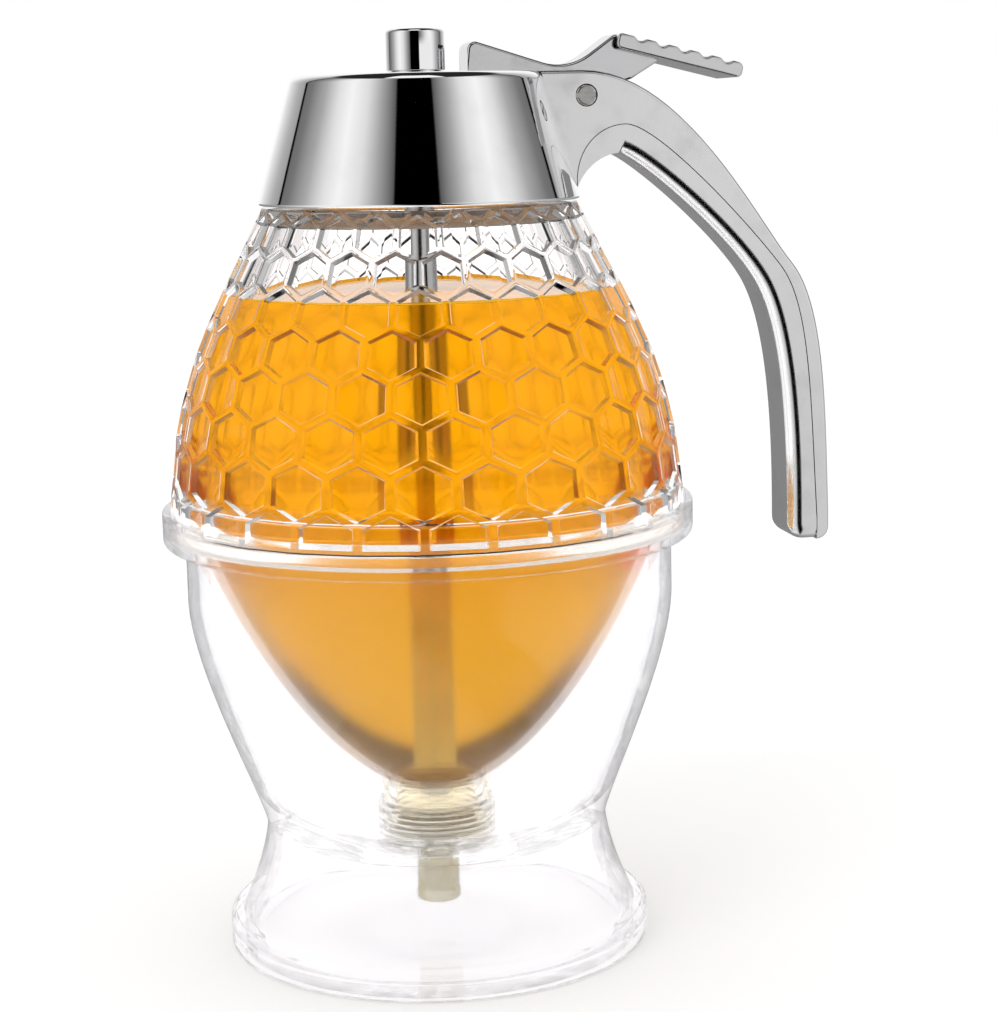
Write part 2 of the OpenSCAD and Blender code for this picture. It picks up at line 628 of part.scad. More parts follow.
module handle_shell() {
    tip = corner([grip_x, grip_end_z + 5], [grip_x, grip_end_z], [grip_in, grip_end_z], tip_r, 4);
    root_x = cap_top_r - cap_edge_r;
    outline = concat([[root_x, root_z], [root_x, cap_top]], outer_line(), tip,
                     [[grip_x - shell_tip_t, grip_end_z]],
                     reversed(part_line()));
    pocket_out = [for (p = inset(outer_line(), handle_wall))
        if (p.x > pivot_x + 15 && p.y > bend_z - 3) p];
    pocket_in = [for (p = inset(part_line(), 0.3)) if (p.x > pivot_x + 15 && p.y > bend_z - 3) p];
    color("lightgray") difference() {
        plate(outline, handle_w);
        cap_form();
        plate(concat(pocket_out, reversed(pocket_in)), handle_w - 2 * handle_wall);
        translate([root_x - 1, -slot_w / 2, pivot_z - 5.2]) cube([pivot_x + 13 - root_x, slot_w, 20]);
        cross_bar(pivot_x, pivot_z, pivot_r + joint_clear, -handle_w, handle_w);
        handle_screw_holes(handle_screw_r);
    }
}

module handle_cover() {
    seam = inset(part_line(), joint_clear);
    tip = corner([grip_in, grip_end_z + 5], [grip_in, grip_end_z], [grip_x, grip_end_z],
                 cover_tip_r, 6);
    outline = concat(seam, [[grip_x - shell_tip_t - joint_clear, grip_end_z]], reversed(tip),
                     reversed(inner_line()));
    color("silver") difference() {
        plate(outline, handle_w - 2 * cover_step);
        cap_form();
        handle_screw_holes(handle_screw_r);
    }
}

// the heads sit just inside the sloping wall, clear of it at their outer upper edge
module handle_screws() {
    head_r = 1.65 * handle_screw_r;
    wall_r = cap_out(handle_screw_z + head_r) - cap_wall_x;
    head_x = sqrt(pow(wall_r, 2) - pow(handle_screw_y + head_r, 2)) - joint_clear;
    color("silver") for (y = [-handle_screw_y, handle_screw_y])
        translate([head_x, y, handle_screw_z]) rotate([0, 90, 0])
            screw(handle_screw_r, handle_screw_end - head_x, head_r, handle_screw_r);
}

module pivot_screw() {
    y0 = -handle_w / 2 - 0.2;
    color("silver") difference() {
        union() {
            cross_bar(pivot_x, pivot_z, pivot_r, y0 + 0.3, handle_w / 2 - 1);
            cross_bar(pivot_x, pivot_z, pivot_r - 0.15, y0, handle_w / 2 - 0.7);
        }
        translate([pivot_x - 2.5, y0 - 0.1, pivot_z - 0.3]) cube([5, 0.8, 0.6]);
    }
}

module spring_seat() {
    color("silver") tube(spring_top, cap_under, spring_r + 0.9, rod_top_r + 0.3);
}

module plunger_spring() {
    end = wire_r + 0.02;
    lift = (spring_top - spring_z - 2 * end) / spring_turns;
    ring = [for (i = [0:5]) [spring_r + wire_r * cos(60 * i), spring_z + end + wire_r * sin(60 * i)]];
    color("silver") helix(ring, lift, 0, 360 * spring_turns, 20);
}

// ---------------------------------------------------------------- trigger lever
pad_x = pivot_x + 5.9;
pad_z = cap_top + 6.15;
lever_t = 1.4;

module trigger_lever() {
    nose_x = slot_front + side_clear;
    dip = [pivot_x - 2.7, cap_top + 0.1];
    foot_x = nose_x + 6;
    channel_w = lever_w - 2 * lever_t;
    pad_end = [pad_x + pad_l * cos(pad_tilt), pad_z - pad_l * sin(pad_tilt)];
    under = [-sin(pad_tilt), -cos(pad_tilt)] * pad_t;
    neck_end = [pad_x + 8.6 * cos(pad_tilt), pad_z - 8.6 * sin(pad_tilt)] + under;
    boss = [for (a = [20:-20:-120]) [pivot_x, pivot_z] + (pivot_r + 2.15) * [cos(a), sin(a)]];
    outline = concat(
        [[rod_r + 3.1, fork_top], [nose_x, fork_top + 2.6, 1], [nose_x, cap_top + 5.65, 1.4],
         [dip.x, dip.y, 9], [pad_x, pad_z, 0.6]],
        [[pad_x + 3, pad_z - 1.5], [neck_end.x, neck_end.y, 0.5], [pivot_x + 8.4, cap_top - 1.6, 1]],
        boss,
        [[pivot_x - 7, pivot_z - 2.6, 1], [foot_x + 2.4, fork_top + 2.6, 2],
         [foot_x, fork_top - tine_t, 0.5], [-rod_r - 1.7, fork_top - tine_t],
         [-rod_r - 1.7, fork_top - 1.1], [0.5, fork_top]]);
    channel = [[-10, fork_top - 5], [-10, cap_top - 1.5], [nose_x + lever_t, cap_top - 1.5],
        [nose_x + lever_t, cap_top + 4.1, 0.8], [dip.x, dip.y - lever_t, 9],
        [pivot_x + 4.4, dip.y + 2.9, 0.8], [pivot_x + 4.4, fork_top - 5]];
    grooves = [for (i = [0:pad_grooves - 1]) 1.9 + pad_pitch * i + (pad_pitch / 2)];
    color("silver") difference() {
        union() {
            plate(rounded(outline, 5), lever_w);
            translate([pad_x, 0, pad_z]) rotate([0, pad_tilt, 0])
                plate(rounded([[0, 0, 0.5], [pad_l, 0, 1.1], [pad_l, -pad_t, 0.9], [0, -pad_t, 0.9]], 4), pad_w);
        }
        plate(rounded(channel, 3), channel_w);
        translate([pad_x, 0, pad_z]) rotate([0, pad_tilt, 0])
            for (g = grooves) if (g < pad_l - 0.8) cross_bar(g, 0.25, 0.8, -pad_w, pad_w);
        cross_bar(pivot_x, pivot_z, pivot_r + run_clear, -lever_w, lever_w);
    }
}

// ---------------------------------------------------------------- plunger
module plunger_rod() {
    end_z = stopper_z - nut_hex_h - 0.4;
    color("silver") difference() {
        union() {
            translate([0, 0, end_z]) cylinder(h = rod_shoulder_z - end_z, r = rod_end_r);
            translate([0, 0, rod_shoulder_z]) cylinder(h = collar_z - rod_shoulder_z, r = rod_r);
            translate([0, 0, collar_z]) cylinder(h = knob_z + knob_h - 2.4 - collar_z, r = rod_top_r);
        }
        tube(clip_z, clip_z + clip_t + joint_clear, rod_r + 1, rod_top_r - 0.5);
    }
}

module knob() {
    color("silver") difference() {
        rotate_extrude() polygon(rounded([[0, knob_z], [knob_r, knob_z, 0.3],
            [knob_r, knob_z + knob_h, 0.7], [0, knob_z + knob_h]], 5));
        translate([0, 0, knob_z - 1]) cylinder(h = knob_h - 1.3, r = rod_top_r + joint_clear);
    }
}

module lift_collar() {
    hub_r = spring_r - wire_r - 0.35;
    bore_r = rod_top_r + joint_clear;
    color("goldenrod") {
        tube(collar_z, collar_z + lift_collar_t, lift_collar_r, bore_r);
        tube(collar_z, collar_z + lift_collar_t + collar_hub_h, hub_r, bore_r);
    }
}

module collar_clip() {
    out_r = spring_r - wire_r - 0.35;
    color("dimgray") difference() {
        tube(clip_z, clip_z + clip_t, out_r, rod_top_r - 0.45);
        translate([0, -1.2, clip_z - 1]) cube([10, 2.4, 3]);
    }
}

module stopper() {
    color([0.95, 0.95, 0.95, 0.9]) rotate_extrude() polygon(rounded([
        [rod_end_r + joint_clear, stopper_z], [stopper_low_r, stopper_z, 0.3],
        [stopper_r, stopper_z + stopper_r - stopper_low_r, 0.6],
        [stopper_r, stopper_z + stopper_r - stopper_low_r + 0.8, 0.6],
        [rod_r + 1.2, stopper_z + stopper_h, 0.8], [rod_end_r + joint_clear, stopper_z + stopper_h]], 4));
}

module stopper_washer() {
    color("silver") tube(stopper_z + stopper_h, rod_shoulder_z,
                         rod_r + 1, rod_end_r + joint_clear);
}

module stopper_nut() {
    color("silver") translate([0, 0, stopper_z - nut_hex_h]) difference() {
        cylinder(h = nut_hex_h, r = 2.9, $fn = 6);
        translate([0, 0, -1]) cylinder(h = nut_hex_h + 2, r = rod_end_r + joint_clear);
    }
}

stand_cup();
stand_foot();
drip_plate();
container_dome();
container_funnel();
outlet_seal();
spout_nozzle();
outlet_nut();
cap_gasket();
cap_shell();
cap_liner();
liner_screws();
rod_guide_bush();
handle_shell();
handle_cover();
handle_screws();
pivot_screw();
spring_seat();
plunger_spring();
trigger_lever();
plunger_rod();
knob();
lift_collar();
collar_clip();
stopper();
stopper_washer();
stopper_nut();
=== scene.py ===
"""Honey dispenser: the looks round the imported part, in metres and in the part's own frame.

Sizes in the classes are millimetres; every mesh is brought to metres as its points are placed.
"""

import logging
import math
from dataclasses import dataclass, field
from enum import Enum
from typing import Callable, Iterable, Mapping, Optional, Sequence, Union

import bpy
from mathutils import Matrix, Vector


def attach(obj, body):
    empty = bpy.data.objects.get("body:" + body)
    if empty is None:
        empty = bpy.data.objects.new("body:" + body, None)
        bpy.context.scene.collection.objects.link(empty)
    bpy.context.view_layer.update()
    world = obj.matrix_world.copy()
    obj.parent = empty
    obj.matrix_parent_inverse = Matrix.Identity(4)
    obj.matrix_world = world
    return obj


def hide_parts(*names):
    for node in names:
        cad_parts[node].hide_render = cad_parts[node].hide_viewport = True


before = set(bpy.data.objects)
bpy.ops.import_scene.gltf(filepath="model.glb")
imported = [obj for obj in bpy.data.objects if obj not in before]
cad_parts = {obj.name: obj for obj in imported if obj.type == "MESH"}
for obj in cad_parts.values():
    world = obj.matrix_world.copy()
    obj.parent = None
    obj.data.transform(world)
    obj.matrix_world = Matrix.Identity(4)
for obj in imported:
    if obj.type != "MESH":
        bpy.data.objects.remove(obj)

LOG = logging.getLogger("honey_dispenser")
MM = 0.001
NEAR = 0.01  # how far off a vertex may lie and still count as on a face or an edge, in millimetres
Point = tuple[float, float]
Colour = tuple[float, float, float, float]


class Body(Enum):
    """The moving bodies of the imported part."""

    STAND = "stand"
    CONTAINER = "container"
    GASKET = "gasket"
    CAP = "cap"
    LEVER = "lever"
    PLUNGER = "plunger"


# ------------------------------------------------------------------ outlines


def bend(a: Point, b: Point, c: Point, d: Point, steps: int) -> list[Point]:
    """Points on a cubic curve from a to d, pulled towards b and c.

    Args:
        a: First point.
        b: First pull.
        c: Second pull.
        d: Last point.
        steps: Number of stretches.

    Returns:
        steps + 1 points.
    """
    line = []
    for i in range(steps + 1):
        t = i / steps
        s = 1 - t
        w = (s**3, 3 * s * s * t, 3 * s * t * t, t**3)
        line.append(tuple(sum(k * p[n] for k, p in zip(w, (a, b, c, d))) for n in (0, 1)))
    return line


def corner(a: Point, b: Point, c: Point, radius: float, steps: int = 6) -> list[Point]:
    """The corner at b, between a and c, rounded off.

    Args:
        a: The point before.
        b: The corner.
        c: The point after.
        radius: Radius of the arc, or 0 for a sharp corner.
        steps: Number of stretches in the arc.

    Returns:
        The arc's points, or b alone.
    """
    if radius <= 0:
        return [b]
    u = (Vector(a) - Vector(b)).normalized()
    v = (Vector(c) - Vector(b)).normalized()
    half = u.angle(v) / 2
    middle = Vector(b) + (u + v).normalized() * radius / math.sin(half)
    start = Vector(b) + u * radius / math.tan(half) - middle
    end = Vector(b) + v * radius / math.tan(half) - middle
    first = math.atan2(start.y, start.x)
    sweep = math.remainder(math.atan2(end.y, end.x) - first, math.tau)
    return [
        (
            middle.x + radius * math.cos(first + sweep * i / steps),
            middle.y + radius * math.sin(first + sweep * i / steps),
        )
        for i in range(steps + 1)
    ]


def rounded(points: Sequence[Sequence[float]], steps: int = 6) -> list[Point]:
    """A closed outline of (x, y) or (x, y, radius) points with its corners rounded.

    Args:
        points: The corners in order.
        steps: Number of stretches in each arc.

    Returns:
        The outline's points.
    """
    line: list[Point] = []
    for i, p in enumerate(points):
        before, after = points[i - 1], points[(i + 1) % len(points)]
        radius = p[2] if len(p) > 2 else 0.0
        line += corner((before[0], before[1]), (p[0], p[1]), (after[0], after[1]), radius, steps)
    return line


def beside(line: Sequence[Point], distance: float) -> list[Point]:
    """The line moved sideways, to the right of its direction of travel.

    Args:
        line: Points in order.
        distance: How far, negative for the left.

    Returns:
        As many points.
    """
    moved = []
    for i, p in enumerate(line):
        a, b = line[max(0, i - 1)], line[min(len(line) - 1, i + 1)]
        along = Vector((b[0] - a[0], b[1] - a[1])).normalized()
        moved.append((p[0] + along.y * distance, p[1] - along.x * distance))
    return moved


def off_line(line: Sequence[Point], place: Point) -> float:
    """How far a place lies from the nearest stretch of a line."""
    best = math.inf
    for a, b in zip(line, line[1:]):
        along = (b[0] - a[0], b[1] - a[1])
        full = along[0] ** 2 + along[1] ** 2 or 1.0
        share = ((place[0] - a[0]) * along[0] + (place[1] - a[1]) * along[1]) / full
        share = min(1.0, max(0.0, share))
        best = min(best, math.dist(place, (a[0] + share * along[0], a[1] + share * along[1])))
    return best


def radius_at(line: Sequence[Point], height: float) -> float:
    """The radius of a profile at a height, whichever way the profile runs.

    Args:
        line: (radius, height) points.
        height: The height asked for.

    Returns:
        The radius there, or the nearest end's.
    """
    ordered = sorted(line, key=lambda p: p[1])
    for low, high in zip(ordered, ordered[1:]):
        if low[1] <= height <= high[1] and high[1] > low[1]:
            share = (height - low[1]) / (high[1] - low[1])
            return low[0] + share * (high[0] - low[0])
    return ordered[0][0] if height < ordered[0][1] else ordered[-1][0]


# ------------------------------------------------------------------ modelling


class Bench:
    """The modelling steps that the pieces share, each done with Blender's own operators."""

    @staticmethod
    def start() -> None:
        """Leaves edit mode and deselects everything."""
        if bpy.context.object and bpy.context.object.mode != "OBJECT":
            bpy.ops.object.mode_set(mode="OBJECT")
        bpy.ops.object.select_all(action="DESELECT")

    @staticmethod
    def pick(piece: bpy.types.Object) -> None:
        """Makes one piece the only selected and active object."""
        Bench.start()
        piece.select_set(True)
        bpy.context.view_layer.objects.active = piece

    @staticmethod
    def edit(piece: bpy.types.Object, kind: str = "VERT") -> None:
        """Opens a piece in edit mode with all of it selected.

        Args:
            piece: The piece.
            kind: VERT, EDGE or FACE.
        """
        Bench.pick(piece)
        bpy.ops.object.mode_set(mode="EDIT")
        bpy.ops.mesh.select_mode(type=kind)
        bpy.ops.mesh.select_all(action="SELECT")

    @staticmethod
    def done() -> None:
        """Goes back to object mode."""
        bpy.ops.object.mode_set(mode="OBJECT")

    @staticmethod
    def edges(piece: bpy.types.Object, wanted: Callable[[Vector, Vector], bool]) -> int:
        """Opens a piece in edit mode with the edges that a test picks selected.

        Args:
            piece: The piece.
            wanted: Takes an edge's two ends, in millimetres.

        Returns:
            How many edges are selected.
        """
        Bench.edit(piece, "EDGE")
        bpy.ops.mesh.select_all(action="DESELECT")
        Bench.done()
        count = 0
        verts = piece.data.vertices
        for edge in piece.data.edges:
            a, b = (verts[i].co / MM for i in edge.vertices)
            edge.select = bool(wanted(a, b))
            count += edge.select
        bpy.ops.object.mode_set(mode="EDIT")
        return count

    @staticmethod
    def chain(name: str, points: Sequence[Vector]) -> bpy.types.Object:
        """A plane shrunk to one vertex, then drawn out along a line by extruding.

        Args:
            name: The new piece's name.
            points: Where its vertices go, in millimetres.

        Returns:
            The piece, left in edit mode with its last vertex selected.
        """
        Bench.start()
        bpy.ops.mesh.primitive_plane_add(size=MM)
        piece = bpy.context.object
        piece.name = piece.data.name = name
        bpy.ops.object.mode_set(mode="EDIT")
        bpy.ops.mesh.select_mode(type="VERT")
        bpy.ops.mesh.select_all(action="SELECT")
        bpy.ops.mesh.merge(type="CENTER")
        bpy.ops.transform.translate(value=points[0] * MM)
        for a, b in zip(points, points[1:]):
            bpy.ops.mesh.extrude_region_move(TRANSFORM_OT_translate={"value": (b - a) * MM})
        return piece

    @staticmethod
    def tidy(piece: bpy.types.Object, gap: float = 0.002) -> None:
        """Merges doubles and turns the faces outwards.

        Args:
            piece: The piece.
            gap: Merging distance in millimetres.
        """
        Bench.edit(piece)
        bpy.ops.mesh.remove_doubles(threshold=gap * MM)
        bpy.ops.mesh.normals_make_consistent(inside=False)
        Bench.done()

    @staticmethod
    def turned(name: str, outline: Sequence[Point], steps: int = 160) -> bpy.types.Object:
        """A closed (radius, height) outline spun round the vertical axis.

        Args:
            name: The piece's name.
            outline: The outline's points in order, in millimetres.
            steps: Number of steps round the axis.

        Returns:
            The piece, in object mode.
        """
        loop = [Vector((r, 0, z)) for r, z in outline]
        piece = Bench.chain(name, [*loop, loop[0]])
        bpy.ops.mesh.select_all(action="SELECT")
        bpy.ops.mesh.remove_doubles(threshold=0.0005 * MM)
        bpy.ops.mesh.select_all(action="SELECT")
        bpy.ops.mesh.spin(
            steps=steps, angle=math.tau, center=(0, 0, 0), axis=(0, 0, 1), use_auto_merge=True
        )
        Bench.done()
        Bench.tidy(piece)
        return piece

    @staticmethod
    def plate(name: str, outline: Sequence[Point], width: float) -> bpy.types.Object:
        """A closed outline in X and Z given its width along Y.

        Args:
            name: The piece's name.
            outline: The outline's (x, z) points in order, in millimetres.
            width: Width along Y, centred.

        Returns:
            The piece, in object mode.
        """
        piece = Bench.chain(name, [Vector((x, -width / 2, z)) for x, z in outline])
        bpy.ops.mesh.select_all(action="SELECT")
        bpy.ops.mesh.edge_face_add()
        bpy.ops.mesh.extrude_region_move(TRANSFORM_OT_translate={"value": (0, width * MM, 0)})
        Bench.done()
        Bench.tidy(piece)
        return piece

    @staticmethod
    def bevel(
        piece: bpy.types.Object,
        wanted: Callable[[Vector, Vector], bool],
        width: float,
        segments: int = 3,
        held: bool = True,
    ) -> None:
        """Rounds the edges that a test picks.

        Args:
            piece: The piece.
            wanted: Takes an edge's two ends, in millimetres.
            width: Width of the bevel in millimetres.
            segments: Number of faces across it.
            held: Whether it narrows where faces would cross.
        """
        if Bench.edges(piece, wanted):
            bpy.ops.mesh.bevel(
                offset=width * MM, segments=segments, affect="EDGES", clamp_overlap=held
            )
        Bench.done()

    @staticmethod
    def on_side(a: Vector, b: Vector, width: float) -> bool:
        """Whether an edge lies on either side face of a plate of a width."""
        return abs(a.y - b.y) < NEAR and abs(abs(a.y) - width / 2) < NEAR

    @staticmethod
    def modifier(piece: bpy.types.Object, kind: str, settings: Mapping[str, object]) -> None:
        """Adds one modifier and applies it.

        Args:
            piece: The piece.
            kind: The modifier's type.
            settings: Its properties by name.
        """
        Bench.pick(piece)
        bpy.ops.object.modifier_add(type=kind)
        made = piece.modifiers[-1]
        for key, value in settings.items():
            setattr(made, key, value)
        bpy.ops.object.modifier_apply(modifier=made.name)

    @staticmethod
    def cut(piece: bpy.types.Object, cutter: bpy.types.Object) -> None:
        """Takes one piece's shape out of another and deletes it."""
        settings = {"operation": "DIFFERENCE", "solver": "EXACT", "object": cutter}
        Bench.modifier(piece, "BOOLEAN", settings)
        Bench.pick(cutter)
        bpy.ops.object.delete()

    @staticmethod
    def joined(name: str, parts: Sequence[bpy.types.Object]) -> bpy.types.Object:
        """Several meshes made one object, each shell as it is."""
        Bench.start()
        for part in parts:
            part.select_set(True)
        bpy.context.view_layer.objects.active = parts[0]
        bpy.ops.object.join()
        piece = bpy.context.object
        piece.name = piece.data.name = name
        return piece

    @staticmethod
    def smooth(piece: bpy.types.Object, angle: float = 32, level: bool = False) -> None:
        """Shades a piece smooth, but for edges sharper than an angle in degrees.

        Args:
            piece: The piece to shade.
            angle: How sharp an edge may be and still look round.
            level: Whether wide flat faces keep their own evenness beside narrow rounded edges.
        """
        Bench.pick(piece)
        bpy.ops.object.shade_smooth_by_angle(angle=math.radians(angle))
        if level:
            Bench.modifier(piece, "WEIGHTED_NORMAL", {"keep_sharp": True})

    @staticmethod
    def box(low: Sequence[float], high: Sequence[float]) -> bpy.types.Object:
        """A block between two corners in millimetres, for cutting."""
        Bench.start()
        bpy.ops.mesh.primitive_cube_add(size=1)
        block = bpy.context.object
        bpy.ops.object.mode_set(mode="EDIT")
        bpy.ops.mesh.select_all(action="SELECT")
        bpy.ops.transform.resize(value=[(b - a) * MM for a, b in zip(low, high)])
        bpy.ops.transform.translate(value=[(a + b) / 2 * MM for a, b in zip(low, high)])
        Bench.done()
        return block

    @staticmethod
    def rod(
        at: Sequence[float], axis: str, radius: float, length: float, sides: int = 48
    ) -> bpy.types.Object:
        """A round bar, for cutting or for pins.

        Args:
            at: Its middle in millimetres.
            axis: X, Y or Z.
            radius: Its radius.
            length: Its length.
            sides: Number of sides.

        Returns:
            The bar, with its place in its mesh.
        """
        Bench.start()
        turn = {"X": (0, math.pi / 2, 0), "Y": (math.pi / 2, 0, 0), "Z": (0, 0, 0)}[axis]
        bpy.ops.mesh.primitive_cylinder_add(
            vertices=sides,
            radius=radius * MM,
            depth=length * MM,
            rotation=turn,
            location=[v * MM for v in at],
        )
        bar = bpy.context.object
        bpy.ops.object.transform_apply(location=True, rotation=True, scale=True)
        return bar


# ------------------------------------------------------------------ materials


class Wire:
    """A value on a node's output that plain arithmetic works on."""

    def __init__(self, nodes: "Nodes", socket: bpy.types.NodeSocket) -> None:
        """Wraps one output socket of a node tree."""
        self.nodes = nodes
        self.socket = socket

    def _math(self, operation: str, a: "Number", b: "Number", clamp: bool = False) -> "Wire":
        """Adds one Math node and returns its result."""
        settings = {"operation": operation, "use_clamp": clamp}
        return self.nodes.add("ShaderNodeMath", settings, {0: a, 1: b})

    def __add__(self, other: "Number") -> "Wire":
        """The sum."""
        return self._math("ADD", self, other)

    __radd__ = __add__

    def __sub__(self, other: "Number") -> "Wire":
        """The difference."""
        return self._math("SUBTRACT", self, other)

    def __rsub__(self, other: "Number") -> "Wire":
        """The difference, the other way."""
        return self._math("SUBTRACT", other, self)

    def __mul__(self, other: "Number") -> "Wire":
        """The product."""
        return self._math("MULTIPLY", self, other)

    __rmul__ = __mul__

    def __truediv__(self, other: "Number") -> "Wire":
        """The quotient."""
        return self._math("DIVIDE", self, other)

    def at_least(self, other: "Number") -> "Wire":
        """The larger of the two."""
        return self._math("MAXIMUM", self, other)

    def angle_from(self, other: "Number") -> "Wire":
        """The angle whose sine follows this and whose cosine follows the other."""
        return self._math("ARCTAN2", self, other)

    def size(self) -> "Wire":
        """The value without its sign."""
        return self._math("ABSOLUTE", self, 0.0)

    def step(self, low: float, high: float) -> "Wire":
        """0 below low, 1 above high and a soft change between.

        Args:
            low: Where it starts to rise.
            high: Where it is full.

        Returns:
            The softened mask.
        """
        settings = {"interpolation_type": "SMOOTHSTEP", "clamp": True}
        return self.nodes.add(
            "ShaderNodeMapRange", settings, {"Value": self, "From Min": low, "From Max": high}
        )


Number = Union[float, Wire]


class Nodes:
    """One node tree, written to by name."""

    def __init__(self, tree: bpy.types.NodeTree) -> None:
        """Empties a tree and keeps it."""
        self.tree = tree
        tree.nodes.clear()

    def add(
        self,
        kind: str,
        settings: Optional[Mapping[str, object]] = None,
        inputs: Optional[Mapping[Union[str, int], object]] = None,
        output: Union[str, int] = 0,
    ) -> Wire:
        """Adds a node.

        Args:
            kind: The node's type.
            settings: Its properties, set first; "stops" holds a ramp's positions and colours.
            inputs: Values or wires for its sockets.
            output: Which output is handed back.

        Returns:
            That output.
        """
        made = self.tree.nodes.new(kind)
        for key, value in (settings or {}).items():
            if key == "stops":
                Nodes._ramp(made.color_ramp, value)
            else:
                setattr(made, key, value)
        for key, value in (inputs or {}).items():
            if isinstance(value, Wire):
                self.tree.links.new(value.socket, made.inputs[key])
            else:
                made.inputs[key].default_value = value
        return Wire(self, made.outputs[output] if made.outputs else None)

    @staticmethod
    def _ramp(ramp: bpy.types.ColorRamp, stops: Sequence[tuple[float, Colour]]) -> None:
        """Sets a ramp's stops."""
        while len(ramp.elements) < len(stops):
            ramp.elements.new(1.0)
        for element, (place, colour) in zip(ramp.elements, stops):
            element.position = place
            element.color = colour

    def here(
        self,
        centre: Sequence[float] = (0, 0, 0),
        turn: Sequence[float] = (0, 0, 0),
        scale: Sequence[float] = (1, 1, 1),
    ) -> Wire:
        """Object coordinates, centred, turned and stretched on the piece.

        Args:
            centre: Where the pattern's middle is, in millimetres.
            turn: Its turn in degrees.
            scale: Its stretch.

        Returns:
            The vector.
        """
        place = self.add("ShaderNodeTexCoord", output="Object")
        return self.add(
            "ShaderNodeMapping",
            {"vector_type": "TEXTURE"},
            {
                "Vector": place,
                "Location": [v * MM for v in centre],
                "Rotation": [math.radians(v) for v in turn],
                "Scale": [1 / v for v in scale],
            },
        )

    def noise(self, where: Wire, grain: float, detail: float = 3, rough: float = 0.5) -> Wire:
        """Cloudy noise from 0 to 1.

        Args:
            where: The coordinates.
            grain: Size of its clouds in millimetres.
            detail: How many finer layers.
            rough: How strong they are.

        Returns:
            The value.
        """
        inputs = {"Vector": where, "Scale": 1 / (grain * MM), "Detail": detail, "Roughness": rough}
        return self.add("ShaderNodeTexNoise", {"noise_dimensions": "3D"}, inputs)

    def ramp(self, stops: Sequence[Point], full: float, place: Wire) -> Wire:
        """A run of even greys along a value.

        Args:
            stops: Places, from 0 to full, each with its grey.
            full: The place that the value 1 stands for.
            place: The value.

        Returns:
            The grey there.
        """
        greys = [(at / full, (value, value, value, 1)) for at, value in stops]
        return self.add("ShaderNodeValToRGB", {"stops": greys}, {0: place})

    def blend(self, share: Number, a: object, b: object) -> Wire:
        """A colour between a and b.

        Args:
            share: 0 for a, 1 for b.
            a: Colour or wire.
            b: Colour or wire.

        Returns:
            The mixed colour.
        """
        settings = {"data_type": "RGBA", "blend_type": "MIX", "clamp_factor": True}
        return self.add("ShaderNodeMix", settings, {0: share, 6: a, 7: b}, output=2)

    def relief(self, height: Wire, depth: float, normal: Optional[Wire] = None) -> Wire:
        """A bump of a depth in millimetres, on top of another where one is given."""
        inputs = {"Height": height, "Distance": depth * MM, "Strength": 1.0}
        if normal is not None:
            inputs["Normal"] = normal
        return self.add("ShaderNodeBump", {}, inputs)


@dataclass(frozen=True)
class Finish:
    """A material of one kind; the kinds below fill in its nodes."""

    name: str
    slot: str

    def material(self) -> bpy.types.Material:
        """The material, made once and shared by what wears it."""
        known = bpy.data.materials.get(self.name)
        if known:
            return known
        made = bpy.data.materials.new(self.name)
        made.use_nodes = True
        nodes = Nodes(made.node_tree)
        self.lay(nodes)
        return made

    def lay(self, nodes: Nodes) -> None:
        """Fills in the node tree."""
        raise NotImplementedError

    @staticmethod
    def surface(nodes: Nodes, inputs: Mapping[str, object], volume: Optional[Wire] = None) -> None:
        """Ends the tree with one Principled shader.

        Args:
            nodes: The tree.
            inputs: Values or wires for its sockets.
            volume: What fills the piece, if anything does.
        """
        shader = nodes.add("ShaderNodeBsdfPrincipled", {}, inputs)
        ends = {"Surface": shader}
        if volume is not None:
            ends["Volume"] = volume
        nodes.add("ShaderNodeOutputMaterial", {}, ends)


@dataclass(frozen=True)
class ClearPlastic(Finish):
    """Polished clear plastic with faint moulding ripples, handling haze and painted shade where it is
    seen edge on.

    Attributes:
        tint: Colour of most of it.
        deep: Colour of its clouds.
        haze: Roughness that handling adds in smears.
        ripple: Depth of the moulding ripples in millimetres.
        ior: How strongly it bends light.
        frost: Its own roughness.
        glint: Colour of its mirror light.
        rim: Painted edge shade: the darker colour painted where it is seen edge on, for the lines that
            refraction and reflection draw along its edges.
        body: How much of it stands in the way.
        coat: Strength of the polish over it.
    """

    tint: Colour = (0.985, 0.988, 0.992, 1)
    deep: Colour = (0.955, 0.95, 0.965, 1)
    haze: float = 0.03
    ripple: float = 0.012
    ior: float = 1.49
    frost: float = 0.0
    glint: Colour = (0.35, 0.35, 0.36, 1)
    # Painted edge shade, laid where the plastic is seen edge on.
    rim: Colour = (0.86, 0.84, 0.87, 1)
    body: float = 1.0
    coat: float = 0.0

    def lay(self, nodes: Nodes) -> None:
        """Fills in the node tree."""
        here = nodes.here()
        flow = nodes.noise(nodes.here(scale=(1, 1, 0.35)), 14, 2)
        smear = nodes.noise(here, 3.2, 4, 0.6)
        colour = nodes.blend(flow.step(0.35, 0.75), self.tint, self.deep)
        normal = nodes.relief(nodes.noise(here, 9, 1), self.ripple)
        # Painted edge shade: the colour turns to rim where the surface is seen edge on, standing in for
        # the lines that refraction and reflection draw at its edges.
        facing = nodes.add("ShaderNodeLayerWeight", {}, {"Blend": 0.35}, output="Facing")
        self.surface(nodes, {
            "Base Color": nodes.blend(facing.step(0.4, 1.0), colour, self.rim),
            "Alpha": self.body,
            "Coat Weight": self.coat,
            "Roughness": self.frost + smear.step(0.45, 0.8) * self.haze,
            "IOR": self.ior,
            "Specular Tint": self.glint,
            "Transmission Weight": 1.0,
            "Normal": normal,
        })


